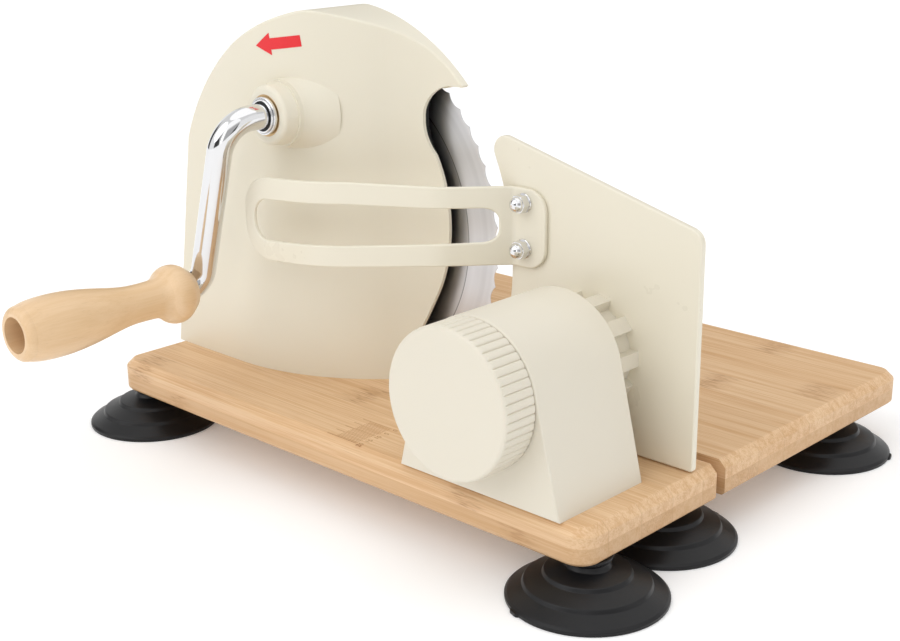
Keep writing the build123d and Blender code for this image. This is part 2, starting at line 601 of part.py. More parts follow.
# ---------------------------------------------------------------- control block and knob
def drum_face(outer, root, tooth_share):
    """Splined drum outline: a disc with ten straight-sided teeth."""
    teeth = 10
    disc = Circle(root)
    width = 2 * pi * root / teeth * tooth_share
    length = sqrt(outer * outer - width * width / 4) - root + 3.0
    for x, y in ring_places(teeth, root - 3.0 + length / 2, 3.0):
        angle = Vector(x, y, 0).get_signed_angle(Vector(1, 0, 0), Vector(0, 0, -1))
        disc += Pos(x, y) * (Rot(0, 0, angle) * Rectangle(length, width))
    return disc & Circle(outer)


def arch_outline():
    """Control block seen from the front: an arch about the knob's axis on two leaning sides."""
    half_base = BLOCK_LENGTH / 2
    drop = KNOB_Z - BOARD_TOP
    reach = hypot(half_base, drop)
    lean = acos(ARCH_RADIUS / reach) - radians(90) + acos(half_base / reach)
    touch_x = ARCH_RADIUS * cos(lean)
    touch_z = ARCH_RADIUS * sin(lean)
    sides = Polyline((touch_x, touch_z), (half_base, -drop), (-half_base, -drop), (-touch_x, touch_z))
    arch = ThreePointArc((-touch_x, touch_z), (0.0, ARCH_RADIUS), (touch_x, touch_z))
    return Pos(KNOB_X, KNOB_Z) * make_face([sides, arch])


def make_control_block():
    """Arched block on the board that the knob turns in and the plate's drum slides in."""
    shell = along_y(arch_outline(), BLOCK_FRONT, BLOCK_BACK)
    chamber_back = BLOCK_BACK - 3.0
    shell -= rod_y(KNOB_X, KNOB_Z, 24.2, BLOCK_FRONT + 4.0, chamber_back)
    keyway = Pos(KNOB_X, KNOB_Z) * drum_face(DRUM_RADIUS + PART_GAP, DRUM_ROOT + PART_GAP, 0.56)
    shell -= along_y(keyway, chamber_back - 1.0, BLOCK_BACK + 1.0)
    shell -= rod_y(KNOB_X, KNOB_Z, STEM_RADIUS + RUNNING_FIT, BLOCK_FRONT - 1.0, BLOCK_FRONT + 5.0)
    for x, y in block_screw_places():
        shell -= rod_z(x, y, 2.0 + THREAD_GAP, BOARD_TOP - 1.0, BOARD_TOP + 10.0)
    return shell


def make_thickness_knob():
    """Round knob with a ribbed rim and a plain front face."""
    ribs = 54
    crest = KNOB_RADIUS
    valley = KNOB_RADIUS - 0.9
    arcs = []
    for index in range(ribs):
        first, middle, last = (radians(360 * (index + part) / ribs) for part in (0.0, 0.5, 1.0))
        arcs.append(ThreePointArc(
            (valley * cos(first), valley * sin(first)),
            (crest * cos(middle), crest * sin(middle)),
            (valley * cos(last), valley * sin(last)),
        ))
    knob_back = BLOCK_FRONT - PART_GAP
    knob = along_y(make_face(arcs), KNOB_FRONT + 1.2, knob_back)
    face_disc = turned_y(polygon(
        (0.0, KNOB_FRONT), (valley - 1.4, KNOB_FRONT), (valley - 0.2, KNOB_FRONT + 1.2), (0.0, KNOB_FRONT + 1.2),
    ))
    knob += face_disc
    knob -= rod_y(0, 0, 25.5, KNOB_FRONT + 3.0, knob_back + 1.0)
    knob += rod_y(0, 0, 12.0, KNOB_FRONT + 2.0, knob_back)
    knob -= rod_y(0, 0, STEM_RADIUS, -126.0, knob_back + 1.0)
    return Pos(KNOB_X, 0, KNOB_Z) * knob


def make_lead_screw():
    """Stem of the knob, carrying the steep screw that draws the drum in and out."""
    stem = rod_y(KNOB_X, KNOB_Z, STEM_RADIUS, -126.0, -72.0)
    groove = rod_y(KNOB_X, KNOB_Z, STEM_RADIUS + 1.0, -110.2, -109.2) - rod_y(KNOB_X, KNOB_Z, 6.6, -111.0, -109.0)
    return stem - groove


def make_stem_clip():
    """Spring clip that keeps the stem in the block's front wall."""
    clip = rod_y(KNOB_X, KNOB_Z, 10.4, -110.2, -109.2) - rod_y(KNOB_X, KNOB_Z, 6.6, -111.0, -109.0)
    return clip - block((KNOB_X - 4.0, KNOB_X + 4.0), (-111.0, -109.0), (KNOB_Z, KNOB_Z + 12.0))


# ---------------------------------------------------------------- guide plate and slice arm
def plate_screw_places():
    """Countersunk screws that fix the drum to the plate."""
    return [(KNOB_X + x, KNOB_Z + z) for x, z in ring_places(4, 14.0, 45.0)]


def nut_places():
    """The two acorn nuts that hold the arm."""
    return [(54.5, 125.2), (54.5, 106.4)]


def make_guide_plate():
    """Upright plate that the food slides along, hollowed on the left to follow the blade."""
    outline = polygon((20.0, PLATE_BOTTOM), (20.0, 156.2), (PLATE_RIGHT, 126.0), (PLATE_RIGHT, PLATE_BOTTOM))
    outline -= Pos(BLADE_X, BLADE_Z) * Circle(PLATE_HOLLOW_RADIUS)
    corners = outline.vertices()
    outline = fillet(corners.group_by(Axis.Y)[-1], 6.0)
    outline = fillet(outline.vertices().sort_by_distance((PLATE_RIGHT, 126.0)).first, 6.0)
    outline = fillet(outline.vertices().sort_by_distance((PLATE_RIGHT, PLATE_BOTTOM)).first, 1.5)
    plate = along_y(outline, PLATE_FRONT, PLATE_BACK)
    for x, z in plate_screw_places():
        plate -= rod_y(x, z, 1.9, PLATE_FRONT - 1.0, PLATE_BACK + 1.0)
        plate -= Pos(x, PLATE_BACK - 0.9, z) * (Rot(-90, 0, 0) * Cone(1.9, 3.7, 1.8))
    for x, z in nut_places():
        plate -= rod_y(x, z, 2.0, PLATE_FRONT - 1.0, PLATE_BACK + 1.0)
        plate -= Pos(x, PLATE_BACK - 0.8, z) * (Rot(-90, 0, 0) * Cone(2.0, 3.6, 1.6))
    return plate


def make_plate_drum():
    """Splined drum on the plate's front, threaded on the knob's stem and sliding in the block."""
    drum = along_y(drum_face(DRUM_RADIUS, DRUM_ROOT, 0.5), -95.0, PLATE_FRONT)
    drum -= rod_y(0, 0, 13.0, PLATE_FRONT - 6.0, PLATE_FRONT + 1.0)
    drum -= rod_y(0, 0, STEM_RADIUS + 0.06, -96.0, PLATE_FRONT)
    drum = Pos(KNOB_X, 0, KNOB_Z) * drum
    for x, z in plate_screw_places():
        drum -= rod_y(x, z, 1.5 + THREAD_GAP, PLATE_FRONT - 12.0, PLATE_FRONT + 1.0)
    return drum


def csk_screw_y(x, z, back, head_height, head_radius, shank_radius, front):
    """Countersunk screw along Y, driven from behind."""
    head = Pos(x, back - head_height / 2, z) * (Rot(-90, 0, 0) * Cone(shank_radius, head_radius, head_height))
    shank = rod_y(x, z, shank_radius, front, back - head_height)
    drive = Pos(x, back, z) * (Box(head_radius, 1.4, 0.7) + Box(0.7, 1.4, head_radius))
    return head + shank - drive


def make_drum_screws():
    """Four screws from the food side of the plate into the drum."""
    return [csk_screw_y(x, z, PLATE_BACK, 1.7, 3.5, 1.5, PLATE_FRONT - 11.0) for x, z in plate_screw_places()]


def make_arm_screws():
    """Two screws from the food side through the plate and the arm into the acorn nuts."""
    return [csk_screw_y(x, z, PLATE_BACK, 1.5, 3.4, 1.8, PLATE_FRONT - 6.0) for x, z in nut_places()]


def make_acorn_nuts():
    """Domed nuts on a collar, over the arm's root."""
    nuts = []
    for x, z in nut_places():
        base = PLATE_FRONT - 2.0
        washer = rod_y(x, z, 4.0, base - 0.8, base)
        hexagon = Pos(x, 0, z) * along_y(RegularPolygon(3.9, 6), base - 4.4, base - 0.8)
        dome = Pos(x, base - 4.4, z) * (Sphere(3.2) & Pos(0, -3.0, 0) * Box(8.0, 6.0, 8.0))
        nuts.append(washer + hexagon + dome - rod_y(x, z, 1.8 + THREAD_GAP, base - 4.2, base + 1.0))
    return nuts


def make_slice_arm():
    """Slotted sheet-metal arm that keeps the slices against the gear case."""
    route = FilletPolyline(
        (66.0, PLATE_FRONT), (48.0, PLATE_FRONT), (27.0, -69.0), (-22.0, -92.0), (-63.0, -94.6),
        radius=[5.0, 30.0, 60.0],
    )
    region = make_face(offset(route, amount=2.0, side=Side.LEFT))
    strip = Pos(0, 0, 80.0) * extrude(region, amount=60.0)
    outline = polygon((65.4, 98.6), (28.0, 98.4), (-10.0, 94.8), (-62.5, 91.2), (-62.5, 127.4), (-10.0, 130.6),
                      (28.0, 131.0), (65.4, 131.0))
    left_corners = outline.vertices().group_by(Axis.X)[0]
    outline = fillet(left_corners, 14.0)
    right_corners = outline.vertices().group_by(Axis.X)[-1]
    outline = fillet(right_corners, 9.0)
    slot = polygon((43.5, 108.2), (28.0, 107.6), (-10.0, 103.8), (-57.0, 100.2), (-57.0, 118.2), (-10.0, 121.4),
                   (28.0, 122.2), (43.5, 122.2))
    slot = fillet(slot.vertices().group_by(Axis.X)[0], 8.0)
    slot = fillet(slot.vertices().group_by(Axis.X)[-1], 5.0)
    strip &= along_y(outline - slot, -110.0, PLATE_FRONT)
    for x, z in nut_places():
        strip -= rod_y(x, z, 1.9, PLATE_FRONT - 3.0, PLATE_FRONT + 1.0)
    return strip


# ---------------------------------------------------------------- write every piece
def main():
    os.makedirs("parts", exist_ok=True)
    save("bamboo_board", make_board())
    save("suction_cups", Compound(children=make_suction_cups()))
    save("cup_screws", Compound(children=make_cup_screws()))
    save("foot_screws", Compound(children=make_foot_screws()))
    save("block_screws", Compound(children=make_block_screws()))
    save("housing_shell", make_housing_shell())
    save("chassis_plate", make_chassis_plate())
    save("case_screws", Compound(children=make_case_screws()))
    save("direction_arrow", make_direction_arrow())
    save("crank_front_bush", make_crank_front_bush())
    save("crank_rear_bush", make_crank_rear_bush())
    save("blade_front_bush", make_blade_front_bush())
    save("blade_rear_bush", make_blade_rear_bush())
    save("crank_tube", make_crank_tube())
    save("crank_shaft", make_crank_shaft())
    save("drive_gear", make_drive_gear())
    save("gear_clip", make_gear_clip())
    save("crank_collar", make_crank_collar())
    save("handle_washer", make_handle_washer())
    save("handle_bolt", make_handle_bolt())
    save("wooden_handle", make_wooden_handle())
    save("blade_disc", make_blade_disc())
    save("blade_shaft", make_blade_shaft())
    save("blade_hub", make_blade_hub())
    save("blade_pinion", make_blade_pinion())
    save("blade_cap", make_blade_cap())
    save("blade_nut", make_blade_nut())
    save("control_block", make_control_block())
    save("thickness_knob", make_thickness_knob())
    save("lead_screw", make_lead_screw())
    save("stem_clip", make_stem_clip())
    save("guide_plate", make_guide_plate())
    save("plate_drum", make_plate_drum())
    save("drum_screws", Compound(children=make_drum_screws()))
    save("slice_arm", make_slice_arm())
    save("arm_screws", Compound(children=make_arm_screws()))
    save("acorn_nuts", Compound(children=make_acorn_nuts()))


main()
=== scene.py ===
"""Looks of a hand-cranked rotary slicer: board, gear case, crank, knife, guide plate and thickness knob."""

import json
import logging
from dataclasses import dataclass
from math import acos, atan2, cos, hypot, pi, radians, sin, sqrt, tan
from typing import Callable, Iterable, Sequence

import bmesh
import bpy
from mathutils import Matrix, Vector


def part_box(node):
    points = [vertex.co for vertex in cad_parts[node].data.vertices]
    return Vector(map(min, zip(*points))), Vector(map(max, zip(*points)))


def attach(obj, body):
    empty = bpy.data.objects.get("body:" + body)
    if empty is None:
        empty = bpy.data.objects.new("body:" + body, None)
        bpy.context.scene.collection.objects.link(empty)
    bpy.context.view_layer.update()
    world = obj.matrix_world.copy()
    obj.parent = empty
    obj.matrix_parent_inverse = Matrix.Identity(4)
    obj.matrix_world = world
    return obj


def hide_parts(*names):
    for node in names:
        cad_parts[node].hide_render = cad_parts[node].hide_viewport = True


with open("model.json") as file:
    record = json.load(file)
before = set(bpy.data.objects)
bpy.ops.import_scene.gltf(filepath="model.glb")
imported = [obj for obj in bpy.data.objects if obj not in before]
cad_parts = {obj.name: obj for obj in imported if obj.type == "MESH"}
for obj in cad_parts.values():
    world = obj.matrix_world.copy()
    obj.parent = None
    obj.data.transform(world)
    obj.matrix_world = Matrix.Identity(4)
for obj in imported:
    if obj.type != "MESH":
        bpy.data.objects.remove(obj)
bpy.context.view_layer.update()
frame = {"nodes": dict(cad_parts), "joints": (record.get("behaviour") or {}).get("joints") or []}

LOG = logging.getLogger("slicer")
MM = 0.001

Point2 = tuple[float, float]
Ring = list[Vector]


# ---------------------------------------------------------------- places taken from the frame
def joint_point(name: str) -> Vector:
    """Point on a joint's axis at rest, in metres."""
    return Vector(next(joint["pos_m"] for joint in frame["joints"] if joint["name"] == name))


BOARD_LOW, BOARD_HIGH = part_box("bamboo_board")
BOARD_MIDDLE = (BOARD_LOW + BOARD_HIGH) / 2
CRANK_AXIS = joint_point("crank_turn")
KNIFE_AXIS = joint_point("blade_turn")
KNOB_AXIS = joint_point("knob_turn")
HANDLE_AXIS = joint_point("handle_spin")


# ---------------------------------------------------------------- outlines
def arc(centre: Point2, radius: float, start: float, end: float, steps: int) -> list[Point2]:
    """Points along an arc.

    Args:
        centre: Middle of the circle.
        radius: Radius of the circle.
        start: First angle in degrees.
        end: Last angle in degrees.
        steps: Number of spans between the points.

    Returns:
        The points, both ends included.
    """
    angles = [radians(start + (end - start) * step / steps) for step in range(steps + 1)]
    return [(centre[0] + radius * cos(angle), centre[1] + radius * sin(angle)) for angle in angles]


def rounded(corners: Sequence[tuple[float, float, float]], closed: bool = True, steps: int = 8) -> list[Point2]:
    """Polygon or polyline with an arc at each corner.

    Args:
        corners: X, Y and radius of each corner; a radius of 0 keeps it sharp.
        closed: Whether the last corner joins the first.
        steps: Spans in each arc.

    Returns:
        Points of the outline in the same order.
    """
    points: list[Point2] = []
    count = len(corners)
    for index, (x, y, radius) in enumerate(corners):
        ends = not closed and index in (0, count - 1)
        if radius <= 0 or ends:
            points.append((x, y))
            continue
        here = Vector((x, y))
        before = (Vector(corners[index - 1][:2]) - here).normalized()
        after = (Vector(corners[(index + 1) % count][:2]) - here).normalized()
        half = before.angle(after) / 2
        middle = here + (before + after).normalized() * (radius / sin(half))
        first = here + before * (radius / tan(half)) - middle
        last = here + after * (radius / tan(half)) - middle
        for step in range(steps + 1):
            share = step / steps
            spoke = first.slerp(last, share) if first.angle(last) > 1e-6 else first
            point = middle + spoke.normalized() * radius
            points.append((point.x, point.y))
    return points


def circle(radius: float, steps: int) -> list[Point2]:
    """Points once round a circle about the origin."""
    return [(radius * cos(2 * pi * step / steps), radius * sin(2 * pi * step / steps)) for step in range(steps)]


# ---------------------------------------------------------------- meshes
def piece_from(name: str, mesh: bpy.types.Mesh, crease: float = 32.0) -> bpy.types.Object:
    """Link a mesh as a new piece with smooth faces and crisp creases.

    Args:
        name: Name of the piece.
        mesh: Mesh in the row frame, in metres.
        crease: Angle in degrees above which an edge stays sharp.

    Returns:
        The new object.
    """
    mesh.name = name
    mesh.shade_smooth()
    mesh.set_sharp_from_angle(angle=radians(crease))
    piece = bpy.data.objects.new(name, mesh)
    bpy.context.scene.collection.objects.link(piece)
    weighting = piece.modifiers.new("face_weighted_normals", "WEIGHTED_NORMAL")
    weighting.keep_sharp = True
    return piece


def mesh_from_bmesh(bm: bmesh.types.BMesh) -> bpy.types.Mesh:
    """Clean a bmesh, turn its faces outward and write it to a new mesh."""
    bmesh.ops.remove_doubles(bm, verts=bm.verts, dist=1e-7)
    bmesh.ops.recalc_face_normals(bm, faces=bm.faces)
    mesh = bpy.data.meshes.new("shape")
    bm.to_mesh(mesh)
    bm.free()
    return mesh


def loft(rings: Sequence[Ring], bm: bmesh.types.BMesh | None = None, caps: bool = True,
         around: bool = False) -> bmesh.types.BMesh:
    """Skin closed rings of equal length one after the other.

    Args:
        rings: Rings of points in metres.
        bm: Mesh to add to, or None for a new one.
        caps: Whether the first and last ring get a face.
        around: Whether the last ring joins the first.

    Returns:
        The mesh that holds the skin.
    """
    bm = bm or bmesh.new()
    rows = [[bm.verts.new(point) for point in ring] for ring in rings]
    count = len(rows[0])
    pairs = list(zip(rows, rows[1:])) + ([(rows[-1], rows[0])] if around else [])
    for low, high in pairs:
        for index in range(count):
            following = (index + 1) % count
            bm.faces.new((low[index], low[following], high[following], high[index]))
    if caps and not around:
        bm.faces.new(list(reversed(rows[0])))
        bm.faces.new(rows[-1])
    return bm


def lathe(profile: Sequence[Point2], origin: Vector, along_y: bool, segments: int = 96,
          bm: bmesh.types.BMesh | None = None) -> bmesh.types.BMesh:
    """Turn a closed half section about an axis.

    Args:
        profile: Radius and place along the axis, in millimetres.
        origin: Point on the axis where the place along it is zero, in metres.
        along_y: True for an axis along Y, False for one along Z.
        segments: Spans round the axis.
        bm: Mesh to add to, or None for a new one.

    Returns:
        The mesh that holds the turned skin.
    """
    rings: list[Ring] = []
    for side, up in circle(1.0, segments):
        offsets = [(radius * side, along, radius * up) if along_y else (radius * side, radius * up, along)
                   for radius, along in profile]
        rings.append([origin + Vector(offset) * MM for offset in offsets])
    return loft(rings, bm, caps=False, around=True)


def add_sink(bm: bmesh.types.BMesh, mouth: Vector, upward: bool, steps: Sequence[Point2]) -> None:
    """Add the shape of one screw's sunk hole to a cutter.

    Args:
        bm: Cutter to add to.
        mouth: Middle of the hole's mouth, in metres.
        upward: True for a hole that runs up from below, False for one that runs forward from behind.
        steps: Depth and radius of each ring in millimetres.
    """
    rings: list[Ring] = []
    for depth, radius in steps:
        offsets = [(x, y, depth) if upward else (x, -depth, y) for x, y in circle(radius, 32)]
        rings.append([mouth + Vector(offset) * MM for offset in offsets])
    loft(rings, bm)


def smooth_profile(corners: Sequence[tuple[float, float, float]]) -> list[Point2]:
    """Closed half section with an arc at each corner that has a radius."""
    return rounded(corners, closed=True, steps=5)


def outline_plate(outer: Sequence[Point2], holes: Sequence[Sequence[Point2]], thickness: float,
                  edge: float) -> bpy.types.Mesh:
    """Upright plate with rounded edges from an outline and its holes.

    Args:
        outer: Outline in millimetres, as X and Z.
        holes: Outlines of the holes in millimetres.
        thickness: Thickness in millimetres, centred on Y = 0.
        edge: Radius of the rounded edges in millimetres.

    Returns:
        Mesh in metres.
    """
    curve = bpy.data.curves.new("outline", "CURVE")
    curve.dimensions = "2D"
    curve.fill_mode = "BOTH"
    curve.extrude = (thickness / 2 - edge) * MM
    curve.bevel_depth = edge * MM
    curve.bevel_resolution = 3
    curve.offset = -edge * MM
    for outline in (outer, *holes):
        spline = curve.splines.new("POLY")
        spline.points.add(len(outline) - 1)
        for point, (x, y) in zip(spline.points, outline):
            point.co = (x * MM, y * MM, 0.0, 1.0)
        spline.use_cyclic_u = True
    carrier = bpy.data.objects.new("outline", curve)
    bpy.context.scene.collection.objects.link(carrier)
    evaluated = carrier.evaluated_get(bpy.context.evaluated_depsgraph_get())
    mesh = bpy.data.meshes.new_from_object(evaluated)
    bpy.data.objects.remove(carrier)
    bpy.data.curves.remove(curve)
    bm = bmesh.new()
    bm.from_mesh(mesh)
    bpy.data.meshes.remove(mesh)
    bmesh.ops.remove_doubles(bm, verts=bm.verts, dist=2e-6)
    bmesh.ops.transform(bm, matrix=Matrix.Rotation(radians(90), 4, "X"), verts=bm.verts)
    return mesh_from_bmesh(bm)


def moved(mesh: bpy.types.Mesh, offset: Vector) -> bpy.types.Mesh:
    """Shift a mesh by an offset in metres."""
    mesh.transform(Matrix.Translation(offset))
    return mesh


def cut(mesh: bpy.types.Mesh, cutter: bpy.types.Mesh) -> bpy.types.Mesh:
    """Take one closed mesh away from another.

    Args:
        mesh: Mesh that is cut.
        cutter: Mesh that is taken away.

    Returns:
        The cut mesh, new.
    """
    body = bpy.data.objects.new("body", mesh)
    tool = bpy.data.objects.new("tool", cutter)
    for item in (body, tool):
        bpy.context.scene.collection.objects.link(item)
    difference = body.modifiers.new("cut", "BOOLEAN")
    difference.operation = "DIFFERENCE"
    difference.solver = "EXACT"
    difference.object = tool
    bpy.context.view_layer.update()
    result = bpy.data.meshes.new_from_object(body.evaluated_get(bpy.context.evaluated_depsgraph_get()))
    for item in (body, tool):
        bpy.data.objects.remove(item)
    return result


def joined(meshes: Iterable[bpy.types.Mesh]) -> bpy.types.Mesh:
    """Put several meshes into one."""
    bm = bmesh.new()
    for mesh in meshes:
        bm.from_mesh(mesh)
        bpy.data.meshes.remove(mesh)
    return mesh_from_bmesh(bm)


# ---------------------------------------------------------------- shader node groups
class Sheet:
    """Node tree with short calls for adding and joining nodes."""

    def __init__(self, tree: bpy.types.NodeTree) -> None:
        """Keep the tree that the nodes go into."""
        self.tree = tree

    def add(self, kind: str, values: dict[str, object] | None = None, **settings: object) -> bpy.types.Node:
        """Add a node.

        Args:
            kind: Type of the node without its ShaderNode prefix.
            values: Values or source sockets for its inputs by name or index.
            **settings: Properties of the node.

        Returns:
            The new node.
        """
        node = self.tree.nodes.new("ShaderNode" + kind)
        for key, value in settings.items():
            setattr(node, key, value)
        for key, value in (values or {}).items():
            socket = node.inputs[int(key)] if key.isdigit() else node.inputs[key]
            if isinstance(value, bpy.types.NodeSocket):
                self.tree.links.new(value, socket)
            else:
                socket.default_value = value
        return node

    def math(self, operation: str, *terms: object, clamp: bool = False) -> bpy.types.NodeSocket:
        """Result of a Math node."""
        values = {str(index): term for index, term in enumerate(terms)}
        return self.add("Math", values, operation=operation, use_clamp=clamp).outputs[0]

    def mix(self, share: object, first: object, second: object, blend: str = "MIX") -> bpy.types.NodeSocket:
        """Colour between two colours."""
        node = self.add("Mix", {"0": share, "6": first, "7": second}, data_type="RGBA", blend_type=blend)
        return node.outputs[2]

    def ramp(self, value: bpy.types.NodeSocket, low: float, high: float,
             out_low: float = 0.0, out_high: float = 1.0) -> bpy.types.NodeSocket:
        """Value mapped from one range to another, clamped and smooth."""
        values = {"Value": value, "From Min": low, "From Max": high, "To Min": out_low, "To Max": out_high}
        return self.add("MapRange", values, interpolation_type="SMOOTHSTEP").outputs["Result"]

    def stretched(self, vector: bpy.types.NodeSocket, scale: tuple[float, float, float]) -> bpy.types.NodeSocket:
        """Vector times a scale for each axis."""
        return self.add("VectorMath", {"0": vector, "1": scale}, operation="MULTIPLY").outputs[0]

    def noise(self, vector: bpy.types.NodeSocket, scale: object, detail: float = 3.0,
              roughness: float = 0.5) -> bpy.types.NodeSocket:
        """Value of a noise texture."""
        values = {"Vector": vector, "Scale": scale, "Detail": detail, "Roughness": roughness}
        return self.add("TexNoise", values).outputs[0]


GroupMaker = Callable[[Sheet, dict[str, bpy.types.NodeSocket]], dict[str, bpy.types.NodeSocket]]
_GROUPS: dict[str, bpy.types.NodeTree] = {}


def shared_group(name: str, inputs: Sequence[tuple[str, str]], outputs: Sequence[str],
                 fill: GroupMaker) -> bpy.types.NodeTree:
    """Build a node group once and keep it.

    Args:
        name: Name of the group.
        inputs: Name and socket type of each input.
        outputs: Name of each value output.
        fill: Function that adds the nodes and returns the output sockets.

    Returns:
        The group's node tree.
    """
    if name in _GROUPS:
        return _GROUPS[name]
    tree = bpy.data.node_groups.new(name, "ShaderNodeTree")
    for label, kind in inputs:
        tree.interface.new_socket(label, in_out="INPUT", socket_type=kind)
    for label in outputs:
        tree.interface.new_socket(label, in_out="OUTPUT", socket_type="NodeSocketFloat")
    entry = tree.nodes.new("NodeGroupInput")
    leave = tree.nodes.new("NodeGroupOutput")
    made = fill(Sheet(tree), {label: entry.outputs[label] for label, _ in inputs})
    for label in outputs:
        tree.links.new(made[label], leave.inputs[label])
    _GROUPS[name] = tree
    return tree


VECTOR = "NodeSocketVector"
FLOAT = "NodeSocketFloat"


def mould_texture() -> bpy.types.NodeTree:
    """Fine sparked texture of a mould, with a slow drift of tone."""
    def fill(sheet: Sheet, given: dict[str, bpy.types.NodeSocket]) -> dict[str, bpy.types.NodeSocket]:
        """Noise at the texture's own scale and a much larger one."""
        fine = sheet.noise(given["Place"], given["Grain"], 4.0, 0.6)
        drift = sheet.noise(given["Place"], 26.0, 3.0, 0.55)
        return {"Height": fine, "Tone": drift}
    return shared_group("mould_texture", [("Place", VECTOR), ("Grain", FLOAT)], ["Height", "Tone"], fill)


def hand_marks() -> bpy.types.NodeTree:
    """Soft smears that hands leave, as a mask, and hairline rubbing as a height."""
    def fill(sheet: Sheet, given: dict[str, bpy.types.NodeSocket]) -> dict[str, bpy.types.NodeSocket]:
        """Broken large noise for smears and stretched noise for rubbing."""
        cloud = sheet.noise(given["Place"], given["Spread"], 4.0, 0.62)
        smear = sheet.ramp(cloud, 0.44, 0.68)
        hair = sheet.noise(sheet.stretched(given["Place"], (180.0, 1600.0, 1100.0)), 1.0, 2.0)
        return {"Smear": smear, "Hair": sheet.ramp(hair, 0.52, 0.72)}
    return shared_group("hand_marks", [("Place", VECTOR), ("Spread", FLOAT)], ["Smear", "Hair"], fill)


def wood_fibres() -> bpy.types.NodeTree:
    """Long fibres with short dark pores, for a vector already stretched along the grain."""
    def fill(sheet: Sheet, given: dict[str, bpy.types.NodeSocket]) -> dict[str, bpy.types.NodeSocket]:
        """Three sizes of streak."""
        broad = sheet.noise(given["Fibre"], 0.22, 3.0, 0.5)
        fine = sheet.noise(given["Fibre"], 1.0, 3.0, 0.65)
        pores = sheet.noise(given["Fibre"], 2.3, 2.0, 0.5)
        streak = sheet.math("ADD", sheet.math("MULTIPLY", broad, 0.45), sheet.math("MULTIPLY", fine, 0.55))
        return {"Streak": streak, "Pore": sheet.ramp(pores, 0.60, 0.76), "Broad": broad}
    return shared_group("wood_fibres", [("Fibre", VECTOR)], ["Streak", "Pore", "Broad"], fill)


def turning_rings() -> bpy.types.NodeTree:
    """Rings left by grinding round an axis along Y."""
    def fill(sheet: Sheet, given: dict[str, bpy.types.NodeSocket]) -> dict[str, bpy.types.NodeSocket]:
        """Noise of the distance from the axis, with a little drift round it."""
        flat = sheet.stretched(given["From axis"], (1.0, 0.0, 1.0))
        radius = sheet.add("VectorMath", {"0": flat}, operation="LENGTH").outputs["Value"]
        drift = sheet.noise(given["From axis"], 18.0, 2.0)
        turned = sheet.math("ADD", radius, sheet.math("MULTIPLY", drift, 0.0006))
        fine = sheet.add("TexNoise", {"W": turned, "Scale": given["Rings"], "Detail": 3.0}, noise_dimensions="1D")
        broad = sheet.add("TexNoise", {"W": turned, "Scale": 160.0, "Detail": 2.0}, noise_dimensions="1D")
        return {"Height": fine.outputs[0], "Band": broad.outputs[0], "Radius": radius}
    return shared_group("turning_rings", [("From axis", VECTOR), ("Rings", FLOAT)],
                        ["Height", "Band", "Radius"], fill)


# ---------------------------------------------------------------- finishes
Colour = tuple[float, float, float]


def opaque(colour: Colour) -> tuple[float, float, float, float]:
    """Colour with full alpha."""
    return (*colour, 1.0)


def shaded(colour: Colour, factor: float) -> tuple[float, float, float, float]:
    """Colour made darker or lighter by a factor."""
    return opaque(tuple(min(1.0, channel * factor) for channel in colour))


@dataclass(frozen=True)
class Finish:
    """What every finish has: a name and a way to build its material."""

    name: str

    def make(self) -> bpy.types.Material:
        """Build the material once and return it."""
        known = bpy.data.materials.get("finish_" + self.name)
        if known:
            return known
        material = bpy.data.materials.new("finish_" + self.name)
        material.use_nodes = True
        tree = material.node_tree
        tree.nodes.clear()
        sheet = Sheet(tree)
        shader = sheet.add("BsdfPrincipled")
        output = sheet.add("OutputMaterial")
        tree.links.new(shader.outputs[0], output.inputs["Surface"])
        self.dress(sheet, shader)
        return material

    def dress(self, sheet: Sheet, shader: bpy.types.Node) -> None:
        """Add the finish's own nodes; each kind of finish has its own."""
        raise NotImplementedError

    def place(self, sheet: Sheet) -> bpy.types.NodeSocket:
        """Place on the piece at rest."""
        return sheet.add("TexCoord").outputs["Object"]

    def group(self, sheet: Sheet, tree: bpy.types.NodeTree, values: dict[str, object]) -> bpy.types.Node:
        """Put a shared group into the material."""
        node = sheet.tree.nodes.new("ShaderNodeGroup")
        node.node_tree = tree
        for key, value in values.items():
            if isinstance(value, bpy.types.NodeSocket):
                sheet.tree.links.new(value, node.inputs[key])
            else:
                node.inputs[key].default_value = value
        return node

    def bump(self, sheet: Sheet, shader: bpy.types.Node, height: bpy.types.NodeSocket,
             depth_mm: float, strength: float) -> None:
        """Feed a height into the shader's normal."""
        node = sheet.add("Bump", {"Height": height, "Strength": strength, "Distance": depth_mm * MM})
        sheet.tree.links.new(node.outputs["Normal"], shader.inputs["Normal"])


